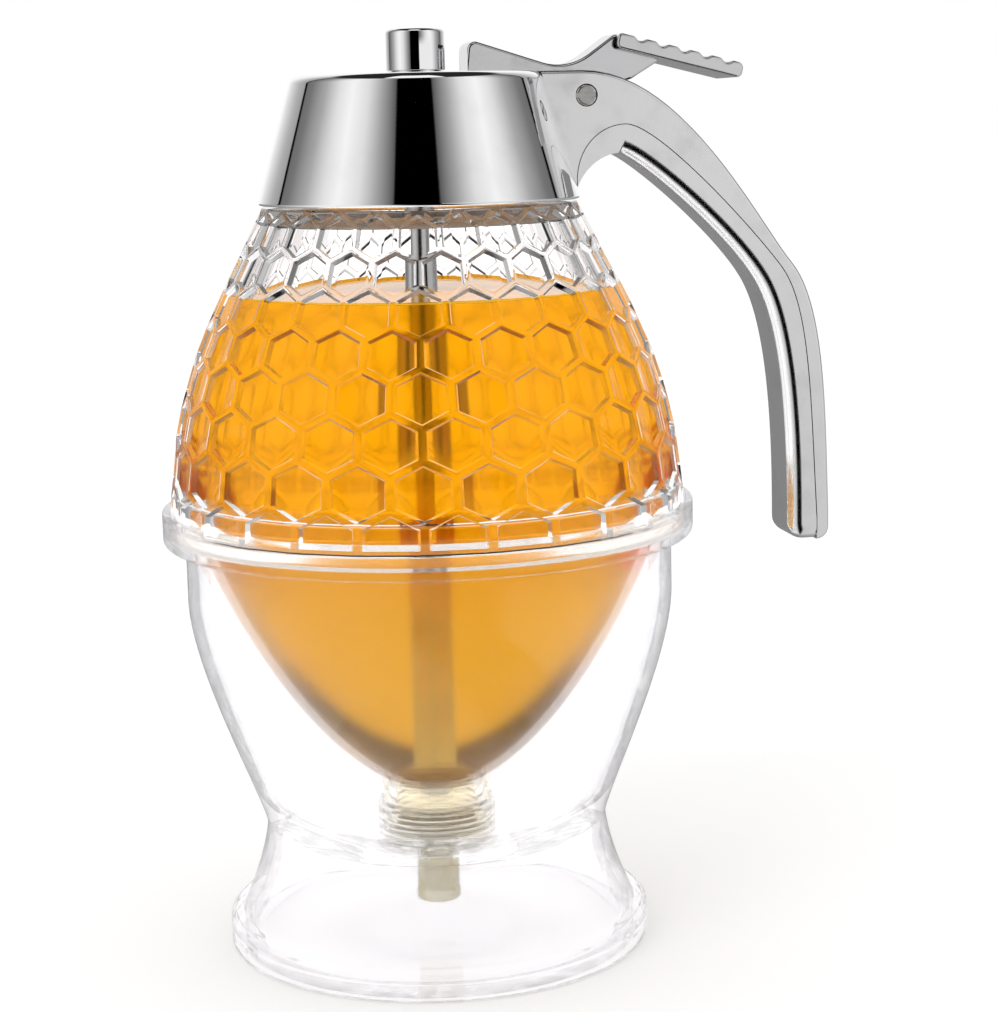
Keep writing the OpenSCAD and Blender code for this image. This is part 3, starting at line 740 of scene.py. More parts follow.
@dataclass(frozen=True)
class MilkyPlastic(Finish):
    """Translucent plastic that has taken up a little of the honey's colour."""

    tint: Colour = (0.9, 0.86, 0.72, 1)
    stain: Colour = (0.86, 0.72, 0.4, 1)
    clear: float = 0.55

    def lay(self, nodes: Nodes) -> None:
        """Fills in the node tree."""
        here = nodes.here()
        cloud = nodes.noise(here, 2.4, 4, 0.6)
        colour = nodes.blend(cloud.step(0.45, 0.8), self.tint, self.stain)
        self.surface(nodes, {
            "Base Color": colour,
            "Roughness": 0.12 + cloud * 0.12,
            "IOR": 1.5,
            "Transmission Weight": self.clear,
            "Normal": nodes.relief(nodes.noise(here, 0.5, 2), 0.004),
        })


@dataclass(frozen=True)
class HoneyFill(Finish):
    """Slightly cloudy runny honey: it spreads the light that comes through and turns it amber; the
    honey in the dome is painted a deeper amber than in the funnel, as painted shade.
    """

    light: Colour = (1.0, 0.56, 0.03, 1)
    # Painted shade: the deeper amber painted on the honey in the dome.
    deep: Colour = (0.97, 0.44, 0.005, 1)
    depth: Colour = (1.0, 0.82, 0.1, 1)
    density: float = 6.0
    cloud: float = 0.15
    through: float = 0.86

    def lay(self, nodes: Nodes) -> None:
        """Fills in the node tree."""
        here = nodes.here()
        stir = nodes.noise(nodes.here(scale=(1, 1, 0.5)), 22, 2)
        # Painted shade: from about 60 to 85 mm up the colour turns from light to deep, so the dome's
        # thicker honey is painted darker than the funnel's; the stir noise adds random tone.
        low = nodes.add("ShaderNodeSeparateXYZ", {}, {0: here}, output="Z")
        share = (low.step(0.06, 0.085) + (stir - 0.5) * 0.5).at_least(0.0)
        colour = nodes.blend(share, self.light, self.deep)
        filling = {"Color": self.depth, "Density": self.density}
        depth = nodes.add("ShaderNodeVolumeAbsorption", {}, filling)
        self.surface(nodes, {
            "Base Color": colour,
            "Roughness": self.cloud + nodes.noise(here, 6, 2).step(0.5, 0.9) * 0.05,
            "IOR": 1.45,
            "Specular Tint": (0.0, 0.0, 0.0, 1),
            "Transmission Weight": self.through,
            "Normal": nodes.relief(nodes.noise(here, 18, 1), 0.01),
        }, depth)


@dataclass(frozen=True)
class Chrome(Finish):
    """Chrome plate, from mirror polish to satin, with fine wear."""

    tone: Colour = (0.93, 0.93, 0.94, 1)
    worn: Colour = (0.86, 0.86, 0.87, 1)
    rough: float = 0.03
    wear: float = 0.03
    brush: Sequence[float] = (1, 1, 1)
    grain: float = 0.25
    depth: float = 0.0006

    def lay(self, nodes: Nodes) -> None:
        """Fills in the node tree."""
        here = nodes.here()
        cloud = nodes.noise(here, 7, 4, 0.55)
        streak = nodes.noise(nodes.here(scale=self.brush), self.grain, 2)
        self.surface(nodes, {
            "Base Color": nodes.blend(cloud.step(0.45, 0.85), self.tone, self.worn),
            "Metallic": 1.0,
            "Roughness": self.rough + cloud.step(0.5, 0.9) * self.wear + streak * (self.wear / 2),
            "Normal": nodes.relief(streak, self.depth),
        })


@dataclass(frozen=True)
class TurnedMetal(Finish):
    """Machined metal with fine rings round the part's axis."""

    tone: Colour = (0.62, 0.61, 0.6, 1)
    dark: Colour = (0.42, 0.41, 0.4, 1)
    rough: float = 0.22
    ring: float = 0.12

    def lay(self, nodes: Nodes) -> None:
        """Fills in the node tree."""
        rings = nodes.noise(nodes.here(scale=(0.12, 0.12, 1)), self.ring, 2)
        cloud = nodes.noise(nodes.here(), 4, 3)
        self.surface(nodes, {
            "Base Color": nodes.blend(cloud.step(0.35, 0.8), self.tone, self.dark),
            "Metallic": 1.0,
            "Roughness": self.rough + rings * 0.14,
            "Normal": nodes.relief(rings, 0.002),
        })


@dataclass(frozen=True)
class Moulding(Finish):
    """Opaque moulded plastic or rubber."""

    tone: Colour = (0.8, 0.8, 0.79, 1)
    shade: Colour = (0.7, 0.69, 0.67, 1)
    rough: float = 0.35
    grain: float = 0.35
    through: float = 0.0

    def lay(self, nodes: Nodes) -> None:
        """Fills in the node tree."""
        here = nodes.here()
        cloud = nodes.noise(here, 5, 4, 0.6)
        pores = nodes.noise(here, self.grain, 2)
        self.surface(nodes, {
            "Base Color": nodes.blend(cloud.step(0.4, 0.8), self.tone, self.shade),
            "Roughness": self.rough + pores * 0.15,
            "Transmission Weight": self.through,
            "Normal": nodes.relief(pores, 0.006),
        })


STAND_PLASTIC = ClearPlastic(
    "stand_clear",
    "clear_plastic",
    tint=(0.972, 0.966, 0.978, 1),
    deep=(0.955, 0.945, 0.962, 1),
    # Painted edge shade: lilac grey where the stand is seen edge on.
    rim=(0.5, 0.46, 0.54, 1),
    body=0.6,
    coat=0.8,
    ior=1.05,
)
VESSEL_PLASTIC = ClearPlastic(
    "vessel_clear",
    "vessel_plastic",
    tint=(0.98, 0.965, 0.96, 1),
    deep=(0.955, 0.925, 0.92, 1),
    ripple=0.006,
    # Painted edge shade: pale warm grey where the dome is seen edge on.
    rim=(0.8, 0.74, 0.72, 1),
    ior=1.4,
)
FUNNEL_PLASTIC = ClearPlastic(
    "funnel_frosted",
    "vessel_plastic",
    tint=(1.0, 0.955, 0.84, 1),
    deep=(0.985, 0.93, 0.8, 1),
    haze=0.05,
    ripple=0.006,
    frost=0.08,
    glint=(0.15, 0.15, 0.15, 1),
    # Painted edge shade: warm grey where the funnel is seen edge on.
    rim=(0.75, 0.66, 0.6, 1),
    ior=1.2,
)
# The nut keeps the default rim, the painted edge shade where it is seen edge on.
NUT_PLASTIC = ClearPlastic(
    "nut_clear", "nut_plastic", tint=(0.97, 0.955, 0.91, 1), deep=(0.95, 0.9, 0.76, 1), haze=0.12
)
SPOUT_PLASTIC = MilkyPlastic("spout_milky", "spout_plastic")
HONEY = HoneyFill("runny_honey", "vessel_plastic")
CAP_CHROME = Chrome("mirror_chrome", "cap_chrome")
HANDLE_CHROME = Chrome(
    "satin_chrome",
    "handle_chrome",
    tone=(0.8, 0.8, 0.8, 1),
    worn=(0.72, 0.72, 0.72, 1),
    rough=0.17,
    wear=0.06,
    brush=(1, 1, 0.08),
    grain=0.2,
)
LEVER_CHROME = Chrome(
    "pressed_chrome",
    "lever_chrome",
    tone=(0.66, 0.66, 0.67, 1),
    worn=(0.56, 0.56, 0.57, 1),
    rough=0.14,
    wear=0.08,
    brush=(0.1, 1, 1),
    grain=0.2,
)
SCREW_STEEL = TurnedMetal("turned_steel", "screw_steel")
ROD_STEEL = TurnedMetal(
    "drawn_steel", "rod_steel", tone=(0.6, 0.6, 0.6, 1), dark=(0.5, 0.5, 0.5, 1), rough=0.16
)
COLLAR_BRASS = TurnedMetal(
    "turned_brass", "collar_brass", tone=(0.83, 0.62, 0.3, 1), dark=(0.62, 0.44, 0.2, 1), rough=0.25
)
LINER_PLASTIC = Moulding("white_moulding", "liner_plastic")
SEAL_RUBBER = Moulding("pale_rubber", "seal_rubber", tone=(0.78, 0.77, 0.74, 1), rough=0.5)
STOPPER_SILICONE = Moulding(
    "clear_silicone",
    "stopper_silicone",
    tone=(0.86, 0.8, 0.68, 1),
    shade=(0.8, 0.72, 0.56, 1),
    rough=0.3,
    through=0.35,
)


def dress(
    piece: bpy.types.Object, finish: Finish, body: Body, replaces: Sequence[str] = ()
) -> bpy.types.Object:
    """Gives a new piece its finish, its body and the CAD nodes that it stands for.

    Args:
        piece: The piece, with its place in its mesh.
        finish: What it is made of.
        body: What it moves with.
        replaces: CAD nodes that it stands for.

    Returns:
        The piece.
    """
    piece.data.materials.clear()
    piece.data.materials.append(finish.material())
    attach(piece, body.value)
    if replaces:
        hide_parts(*replaces)
    faces = len(piece.data.polygons)
    LOG.info("%s: %d faces, %s, on %s", piece.name, faces, finish.name, body.value)
    return piece


def spun(
    name: str,
    outline: Sequence[Point],
    steps: int,
    finish: Finish,
    body: Body,
    replaces: Sequence[str] = (),
    angle: float = 40,
) -> bpy.types.Object:
    """Turns one round piece, shades it and dresses it.

    Args:
        name: Its name.
        outline: Its closed (radius, height) outline in millimetres.
        steps: Number of steps round the axis.
        finish: What it is made of.
        body: What it moves with.
        replaces: CAD nodes that it stands for.
        angle: How sharp an edge may be and still look round, in degrees.

    Returns:
        The piece.
    """
    piece = Bench.turned(name, outline, steps)
    Bench.smooth(piece, angle)
    return dress(piece, finish, body, replaces)


def dress_nodes(finish: Finish, nodes: Iterable[str]) -> None:
    """Gives CAD nodes that stay as they are a finish of their own.

    Args:
        finish: What they are made of.
        nodes: Their names.
    """
    for name in nodes:
        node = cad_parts[name]
        node.data.materials.clear()
        node.data.materials.append(finish.material())
        LOG.info("%s: kept, %s", name, finish.name)


# ------------------------------------------------------------------ stand


@dataclass
class Stand:
    """The clear stand that the vessel nests in, and the plate that closes its foot."""

    ring_r: float = 45.98
    ring_top: float = 78.2
    ring_h: float = 6.1
    lip_t: float = 1.2
    ledge_t: float = 1.5
    cup_r: float = 42.2
    cup_drop: float = 11.3
    wall: float = 2.0
    waist_r: float = 30.0
    waist_z: float = 21.8
    foot_r: float = 37.1
    foot_ledge: float = 2.2
    rim_h: float = 6.3
    rim_step: float = 0.9
    groove_z: float = 3.45
    groove_d: float = 0.35
    hole_r: float = 13.3
    web_z: float = 17.4
    web_t: float = 1.8
    plate_t: float = 2.4
    plate_step: float = 1.8

    @property
    def ledge_z(self) -> float:
        """Height of the ledge that carries the vessel."""
        return self.ring_top - self.ring_h + self.ledge_t

    @property
    def rim_in(self) -> float:
        """Inner radius of the foot's rim."""
        return self.foot_r - self.foot_ledge - self.wall

    def cup_line(self) -> list[Point]:
        """The cup's outer line from under the ring down to the waist."""
        top = self.ledge_z - self.cup_drop
        return bend(
            (self.cup_r, top), (self.cup_r, top - 12.4),
            (self.waist_r, self.waist_z + 3.4), (self.waist_r, self.waist_z), 30,
        )

    def foot_line(self) -> list[Point]:
        """The skirt's outer line from the waist down to the rim."""
        return bend(
            (self.waist_r, self.waist_z), (self.waist_r, self.waist_z - 3),
            (self.foot_r - self.foot_ledge - 2.4, self.rim_h + 4),
            (self.foot_r - self.foot_ledge, self.rim_h), 18,
        )

    def shell(self) -> bpy.types.Object:
        """The stand as one clear moulding."""
        lip_in = self.ring_r - self.lip_t
        low = self.ring_top - self.ring_h
        cup, foot = self.cup_line(), self.foot_line()
        inner = [p for p in beside(cup, self.wall) if p[1] > self.waist_z + 4.5]
        skirt = [p for p in beside(foot, self.wall) if p[1] < self.waist_z - 2.5]
        under = (skirt[0][0] - 0.7, self.waist_z - 1.2)
        hole_low = (self.hole_r, self.web_z - self.web_t)
        hole_top = (self.hole_r, self.web_z)
        floor = (self.waist_r - self.wall, self.waist_z + 3.5)
        ledge, lip = (lip_in, self.ledge_z), (lip_in, self.ring_top)
        ring, brim = (self.ring_r, self.ring_top), (self.ring_r, low)
        cup_top = (self.cup_r, low)
        rim_r, step = self.foot_r - self.rim_step, self.rim_h - self.rim_step
        neck, base, side = (rim_r, self.rim_h), (rim_r, step), (self.foot_r, step)
        groove_r = self.foot_r - self.groove_d
        above, below = self.groove_z + 0.25, self.groove_z - 0.25
        outline = [
            (self.rim_in + self.plate_step, 0.0),
            (self.rim_in + self.plate_step, self.plate_t),
            (self.rim_in, self.plate_t),
            *reversed(skirt),
            *corner(skirt[0], under, hole_low, 1.6),
            *corner((self.hole_r + 6.7, hole_low[1] + 3.4), hole_low, hole_top, 0.5),
            *corner(hole_low, hole_top, (self.hole_r + 6.7, self.web_z + 3.5), 0.5),
            *corner(hole_top, floor, inner[-1], 1.2),
            *reversed(inner),
            (self.cup_r - self.wall, self.ledge_z - 0.4),
            (self.cup_r - self.wall + 0.4, self.ledge_z),
            *corner((self.cup_r - self.wall, self.ledge_z), ledge, lip, 0.3),
            *corner(ledge, lip, ring, 0.4),
            *corner(lip, ring, brim, 0.65),
            *corner(ring, brim, cup_top, 1.3),
            *corner(brim, cup_top, cup[0], 1.4),
            *cup,
            *foot[1:-1],
            *corner(foot[-2], foot[-1], neck, 0.3, 3),
            *corner(foot[-1], neck, base, 0.35),
            *corner(neck, base, side, 0.2, 3),
            *corner(base, side, (self.foot_r, above), 0.4),
            *corner(side, (self.foot_r, above), (groove_r, above - 0.2), 0.1, 2),
            (groove_r, self.groove_z),
            *corner((groove_r, self.groove_z), (self.foot_r, below), (self.foot_r, 1), 0.1, 2),
            *corner((self.foot_r, 3), (self.foot_r, 0.0), (self.foot_r - 2, 0.0), 0.9),
        ]
        return spun("stand_shell", outline, 192, STAND_PLASTIC, Body.STAND, ["stand_cup", "stand_foot"])

    def plate(self) -> bpy.types.Object:
        """The drip plate, with a shallow rise round its edge."""
        edge = self.rim_in + self.plate_step - 0.1
        top = self.plate_t - 0.05
        outline = [
            (0.0, 0.02),
            *corner((0, 0.02), (edge, 0.02), (edge, top), 0.25),
            *corner((edge, 0), (edge, top), (edge - 2, top), 0.25),
            (self.rim_in - 0.9, top),
            *corner((self.rim_in, top), (self.rim_in - 1.2, top - 0.5), (20, top - 0.5), 0.3),
            (14.0, top - 0.5),
            *corner((14, top - 0.5), (13.4, top - 0.8), (5, top - 0.8), 0.3),
            (0.0, top - 0.8),
        ]
        return spun("foot_plate", outline, 160, STAND_PLASTIC, Body.STAND, ["drip_plate"])

    def build(self) -> None:
        """Makes the stand's pieces."""
        self.shell()
        self.plate()


# ------------------------------------------------------------------ vessel


@dataclass
class Honeycomb:
    """The rows of six-sided cells pressed into the dome, with a flat pane in each.

    Attributes:
        cells: Cells in each row.
        full_rows: Rows of whole cells.
        phase: Where the first cell of the first row starts, in degrees.
        start: Middle of the first row, as a share of the dome's line.
        span: From there to the middle of the last row.
        bow: How much the rows close up towards the top.
        depth: Depth of a pane's middle below the webs, in millimetres.
        web: Half of a web, in cells.
        slope: Width of the slope from web to pane, in cells.
        flank: The slope's strips from the web inwards: share of its width, share of its depth.
    """

    cells: int = 26
    full_rows: int = 7
    phase: float = -85.7
    start: float = 0.174
    span: float = 0.746
    bow: float = 0.102
    depth: float = 1.0
    web: float = 0.058
    slope: float = 0.05
    flank: Sequence[Point] = ((0.10, 0.02), (0.12, 0.10), (0.50, 0.70), (0.12, 0.13), (0.16, 0.05))

    def cell(self) -> bpy.types.Object:
        """One cell, one unit wide and four thirds high; Z holds the share of its depth."""
        Bench.start()
        bpy.ops.mesh.primitive_circle_add(vertices=6, radius=2 / 3, fill_type="NGON")
        piece = bpy.context.object
        bpy.ops.object.mode_set(mode="EDIT")
        bpy.ops.mesh.select_all(action="SELECT")
        bpy.ops.transform.resize(value=(0.5 / (2 / 3 * math.sin(math.pi / 3)), 1, 1))
        bpy.ops.mesh.select_mode(type="FACE")
        bpy.ops.mesh.select_all(action="SELECT")
        bpy.ops.mesh.inset(thickness=self.web, depth=0)
        for across, down in self.flank:
            bpy.ops.mesh.inset(thickness=self.slope * across, depth=-down)
        Bench.done()
        return piece

    def sheet(self, low: float, high: float, ease: Sequence[float]) -> bpy.types.Object:
        """The cells laid out flat, in rows that each start half a cell further on.

        Args:
            low: Lower edge, in rows.
            high: Upper edge, in rows.
            ease: How far inside each edge a line is cut for the cells to run out on, in rows.

        Returns:
            The flat sheet, its first row one row below zero.
        """
        piece = self.cell()
        Bench.edit(piece)
        bpy.ops.transform.translate(value=(-0.5, -1, 0))
        Bench.done()
        for count, step in ((self.cells, (1, 0, 0)), (self.full_rows + 2, (0.5, 1, 0))):
            Bench.modifier(piece, "ARRAY", {
                "count": count, "use_relative_offset": False, "use_constant_offset": True,
                "constant_offset_displace": step, "use_merge_vertices": True, "merge_threshold": 0.001,
            })
        for edge, inward in ((low, 1), (high, -1)):
            for share in ease:
                self._slice(piece, edge + inward * share, None)
            self._slice(piece, edge, inward < 0)
        return piece

    @staticmethod
    def _slice(piece: bpy.types.Object, row: float, upper: Optional[bool]) -> None:
        """Cuts the flat sheet across at a row, and clears what lies above or below if asked."""
        Bench.edit(piece)
        bpy.ops.mesh.bisect(plane_co=(0, row, 0), plane_no=(0, 1, 0),
                            clear_inner=upper is False, clear_outer=upper is True)
        Bench.done()

    def share_of(self, row: float) -> float:
        """How far up the dome's outer line a row lies, as a share of its length."""
        low = math.floor(row)
        ends = []
        for k in (low, low + 1):
            u = k / (self.full_rows - 1)
            ends.append(self.start + self.span * u * (1 + self.bow * (1 - u)))
        return ends[0] + (row - low) * (ends[1] - ends[0])

    def row_of(self, share: float) -> float:
        """The row at a share of the line, the other way round."""
        low, high = -2.0, float(self.full_rows + 1)
        for _ in range(40):
            middle = (low + high) / 2
            low, high = (middle, high) if self.share_of(middle) < share else (low, middle)
        return low

    def centre(self, u: float, v: float) -> Point:
        """The middle of the cell that a place on the flat sheet lies in."""
        return min(
            ((round(u - k / 2) + k / 2, float(k)) for k in (math.floor(v), math.ceil(v))),
            key=lambda c: (c[0] - u) ** 2 + 0.75 * (c[1] - v) ** 2,
        )


@dataclass
class Vessel:
    """The honeycomb dome, the funnel under it, the honey and the outlet."""

    dome_z: float = 76.0
    dome_r: float = 44.5
    shoulder_z: float = 129.2
    shoulder_r: float = 26.9
    wall: float = 2.0
    neck_r: float = 20.8
    neck_in: float = 19.0
    neck_z: float = 134.1
    socket_r: float = 43.0
    collar_top: float = 80.4
    collar_in: float = 41.35
    flange_z: float = 73.6
    funnel_r: float = 39.4
    funnel_wall: float = 1.8
    floor_z: float = 29.6
    outlet_z: float = 29.2
    outlet_neck_r: float = 9.0
    neck_low: float = 20.6
    neck_top: float = 25.3
    seat_r: float = 4.2
    nut_r: float = 10.4
    nut_low: float = 16.85
    nut_top: float = 25.05
    nut_floor: float = 18.25
    nut_bore: float = 4.15
    land_z: Sequence[float] = (23.2, 21.0)
    spout_r: float = 3.75
    spout_in: float = 2.95
    spout_low: float = 6.0
    spout_flange_r: float = 8.55
    spout_flange_z: float = 18.35
    spout_flange_t: float = 1.15
    honey_z: float = 113.8
    comb: Honeycomb = field(default_factory=Honeycomb)

    def dome_line(self, steps: int = 40) -> list[Point]:
        """The dome's outer line over the webs, from its lower edge to the shoulder."""
        return bend(
            (self.dome_r, self.dome_z), (self.dome_r - 0.8, self.dome_z + 26.2),
            (self.shoulder_r + 7.6, self.shoulder_z - 16), (self.shoulder_r, self.shoulder_z), steps,
        )

    def inner_line(self) -> list[Point]:
        """The dome's inner line, from above the collar to the shoulder."""
        line = beside(self.dome_line(), -self.wall)
        return [p for p in line if self.collar_top + 1.2 < p[1] < self.shoulder_z - self.wall - 0.4]

    def funnel_line(self) -> list[Point]:
        """The funnel's outer line from the flange to the outlet."""
        return bend(
            (self.funnel_r, self.flange_z - 1.6), (self.funnel_r, self.flange_z - 2.8),
            (self.funnel_r - 11.3, self.outlet_z + 11.5), (self.outlet_neck_r + 0.6, self.outlet_z), 34,
        )

    def wrap(self, sheet: bpy.types.Object, line: Sequence[Point], low: float, high: float) -> None:
        """Lays the flat sheet of cells round the dome, each pane flat.

        Args:
            sheet: The flat sheet: cells along X, rows along Y, share of depth along Z.
            line: The dome's outer line.
            low: Length along the line where the cells begin.
            high: Length along the line where they end.
        """
        pitch = math.tau / self.comb.cells
        lengths = [0.0]
        for a, b in zip(line, line[1:]):
            lengths.append(lengths[-1] + math.dist(a, b))

        def on_line(length: float) -> Vector:
            """The point a length along the outer line."""
            i = min(max(sum(1 for known in lengths if known <= length) - 1, 0), len(line) - 2)
            share = (length - lengths[i]) / (lengths[i + 1] - lengths[i])
            return Vector(line[i]).lerp(Vector(line[i + 1]), share)

        def place(u: float, v: float) -> tuple[Vector, Vector, float]:
            """The point over the webs at a place on the sheet, the normal there and its length."""
            length = self.comb.share_of(v) * lengths[-1]
            at, along = on_line(length), on_line(length + 0.5) - on_line(length - 0.5)
            turn = Matrix.Rotation(math.radians(self.comb.phase) + u * pitch, 3, "Z")
            normal = Vector((along.y, 0, -along.x)).normalized()
            return turn @ Vector((at.x, 0, at.y)), turn @ normal, length

        for vertex in sheet.data.vertices:
            u, v, share = vertex.co
            at, normal, length = place(u, v)
            if share < -1e-6:
                middle, facing, _ = place(*self.comb.centre(u, v))
                pane = (at - middle).dot(facing) + self.comb.depth
                ease = min(1.0, max(0.0, min(length - low, high - length) / 0.8))
                at += normal * (share * ease * pane / normal.dot(facing))
            vertex.co = at * MM

    def dome(self) -> bpy.types.Object:
        """The dome: the cells wrapped round it, drawn over the neck and down the inside."""
        line = self.dome_line(80)
        full = sum(math.dist(a, b) for a, b in zip(line, line[1:]))
        low, high = 1.0, full - 0.35
        row = full * (self.comb.share_of(1) - self.comb.share_of(0))
        piece = self.comb.sheet(
            self.comb.row_of(low / full), self.comb.row_of(high / full), [0.3 / row, 0.8 / row]
        )
        piece.name = piece.data.name = "honeycomb_dome"
        self.wrap(piece, line, low, high)
        Bench.edit(piece)
        bpy.ops.mesh.remove_doubles(threshold=0.01 * MM)
        Bench.done()
        foot, brow = self._height_at(line, low), self._height_at(line, high)
        last = Vector((self.dome_r - 0.3, self.dome_z + 0.05))
        self._rim(piece, brow, [
            (radius_at(line, self.shoulder_z), self.shoulder_z),
            (self.neck_r + 0.3, self.shoulder_z),
            (self.neck_r, self.shoulder_z + 0.3),
            (self.neck_r, self.neck_z - 0.3), (self.neck_r - 0.3, self.neck_z),
            (self.neck_in + 0.3, self.neck_z), (self.neck_in, self.neck_z - 0.3),
            (self.neck_in, self.shoulder_z - 1.4), (self.neck_in + 0.6, self.shoulder_z - self.wall),
            (self.shoulder_r - 2.6, self.shoulder_z - self.wall - 0.3),
            *reversed(self.inner_line()),
            (self.inner_line()[0][0] + 0.05, self.collar_top + 0.5),
            (self.socket_r, self.collar_top + 0.4),
            (self.socket_r, self.dome_z + 0.3),
            (self.socket_r + 0.3, self.dome_z + 0.05),
            tuple(last),
        ])

        def open_edge(a: Vector, b: Vector) -> bool:
            """True on the cells' lower edge and on the last ring that was drawn."""
            rings = [abs(p.z - last.y) + abs(p.xy.length - last.x) for p in (a, b)]
            return max(abs(a.z - foot), abs(b.z - foot)) < 2 * NEAR or max(rings) < NEAR

        Bench.edges(piece, open_edge)
        bpy.ops.mesh.bridge_edge_loops()
        Bench.done()
        Bench.tidy(piece, 0.001)
        Bench.smooth(piece, 30)
        return dress(piece, VESSEL_PLASTIC, Body.CONTAINER, ["container_dome"])

    @staticmethod
    def _height_at(line: Sequence[Point], length: float) -> float:
        """The height a length up the outer line."""
        for a, b in zip(line, line[1:]):
            step = math.dist(a, b)
            if length <= step:
                return a[1] + (b[1] - a[1]) * length / step
            length -= step
        return line[-1][1]

    def _rim(self, piece: bpy.types.Object, height: float, path: Sequence[Point]) -> None:
        """Draws the open edge at a height on along a path of radii and heights.

        Args:
            piece: The piece.
            height: Where its open edge lies.
            path: (radius, height) of each further ring.
        """
        Bench.edges(piece, lambda a, b: max(abs(a.z - height), abs(b.z - height)) < NEAR)
        radius, z = radius_at(self.dome_line(80), height), height
        for r, h in path:
            bpy.ops.mesh.extrude_edges_move(TRANSFORM_OT_translate={"value": (0, 0, (h - z) * MM)})
            bpy.ops.transform.resize(value=(r / radius, r / radius, 1), center_override=(0, 0, 0))
            radius, z = r, h
        Bench.done()

    def funnel(self) -> bpy.types.Object:
        """The funnel with its flange, its collar inside the dome and the outlet neck."""
        outer = self.funnel_line()
        inner = [
            p for p in beside(outer, self.funnel_wall)
            if self.floor_z + 0.8 < p[1] < self.flange_z - 3
        ]
        flange_r, collar_r = self.dome_r, self.socket_r - 0.05
        top = self.dome_z
        neck_in = self.outlet_neck_r - 2
        corners: list[Sequence[float]] = [
            (flange_r, self.flange_z, 0.3), (flange_r, top, 0.2), (collar_r, top, 0.15),
            (collar_r, self.collar_top, 0.35), (self.collar_in, self.collar_top, 0.35),
            (self.collar_in, top + 1.2, 2.5),
            (self.funnel_r - self.funnel_wall, self.flange_z - 0.5, 3),
            *inner,
            (self.seat_r + 1, self.floor_z, 0.6), (self.seat_r, self.floor_z - 1, 0.2),
            (self.seat_r, self.floor_z - 1.6, 0.2),
            (neck_in, self.floor_z - 1.6, 0.5), (neck_in, self.neck_low, 0.2),
            (self.outlet_neck_r, self.neck_low, 0.2), (self.outlet_neck_r, self.neck_top, 0.05),
            (self.outlet_neck_r + 0.5, self.neck_top, 0.1),
            *reversed(outer), (self.funnel_r, self.flange_z, 0.3),
        ]
        nodes = ["container_funnel"]
        return spun("funnel", rounded(corners, 4), 192, FUNNEL_PLASTIC, Body.CONTAINER, nodes)

    def honey(self) -> bpy.types.Object:
        """The honey up to its line, a hair into the walls so that no air shows between."""
        soak = 0.08
        funnel = [
            p for p in beside(self.funnel_line(), self.funnel_wall - soak)
            if self.floor_z + 0.8 < p[1] < self.flange_z - 3
        ]
        dome = [p for p in beside(self.inner_line(), soak) if p[1] < self.honey_z - 0.6]
        edge = radius_at(beside(self.inner_line(), soak), self.honey_z + 0.9)
        outline = [
            (0.0, self.floor_z - 0.3), (5.0, self.floor_z - 0.2), (5.6, self.floor_z + 0.1),
            *reversed(funnel),
            (self.funnel_r - self.funnel_wall + soak, self.flange_z - 0.5),
            (self.collar_in + soak, self.dome_z + 2.2),
            (self.collar_in + soak, self.collar_top - 0.1),
            (self.collar_in + 0.5, self.collar_top + 0.55),
            *dome,
            (edge, self.honey_z + 0.9), (edge - 0.5, self.honey_z + 0.45),
            (edge - 1.3, self.honey_z + 0.15), (edge - 2.6, self.honey_z + 0.03),
            (edge - 5, self.honey_z), (4.6, self.honey_z), (3.4, self.honey_z + 0.12),
            (2.3, self.honey_z + 0.5), (0.0, self.honey_z + 0.5),
        ]
        return spun("honey", outline, 160, HONEY, Body.CONTAINER)

    def nut(self) -> bpy.types.Object:
        """The outlet nut, with the two thread lands that show through it."""
        wide, low, bore, floor = self.nut_r, self.nut_low, self.nut_bore, self.nut_floor
        inner = self.outlet_neck_r + 0.12
        deep = inner + 0.45
        lands: list[Sequence[float]] = []
        for z in self.land_z:
            lands += [(inner, z + 0.7), (deep, z + 0.35, 0.15)]
            lands += [(deep, z - 0.35, 0.15), (inner, z - 0.7)]
        line_z = low + 2.85
        corners: list[Sequence[float]] = [
            (bore, low, 0.15), (wide, low, 1.6), (wide, line_z - 0.4, 0.2),
            (wide - 0.3, line_z, 0.2), (wide, line_z + 0.4, 0.2), (wide, self.nut_top, 1.0),
            (inner, self.nut_top, 0.2), *lands, (inner, floor), (bore, floor, 0.1),
        ]
        nodes = ["outlet_nut"]
        return spun("outlet_ring_nut", rounded(corners, 4), 128, NUT_PLASTIC, Body.CONTAINER, nodes)

    def spout(self) -> bpy.types.Object:
        """The spout tube with its flange and a rounded, slightly thickened tip."""
        bore, tube, tip = self.spout_in, self.spout_r, self.spout_low
        thick, wide = tube + 0.15, self.spout_flange_r
        low, high = self.spout_flange_z, self.spout_flange_z + self.spout_flange_t
        corners = [
            (bore, tip, 0.3), (tube + 0.1, tip, 0.4), (thick, tip + 1.4, 0.3), (tube, tip + 2, 0.3),
            (tube, low - 0.95, 0.4), (thick, low, 0.1), (wide, low, 0.2), (wide, high, 0.2),
            (thick, high, 0.3), (bore, low + 0.2, 0.3),
        ]
        nodes = ["spout_nozzle"]
        return spun("spout_tube", rounded(corners, 5), 96, SPOUT_PLASTIC, Body.CONTAINER, nodes)

    def build(self) -> None:
        """Makes the vessel's pieces; its plastic and honey stay out of the chrome's reflections."""
        for piece in (self.dome(), self.funnel(), self.honey()):
            piece.visible_glossy = False
        self.nut()
        self.spout()
        dress_nodes(SEAL_RUBBER, ["outlet_seal", "cap_gasket"])


# ------------------------------------------------------------------ cap and plunger


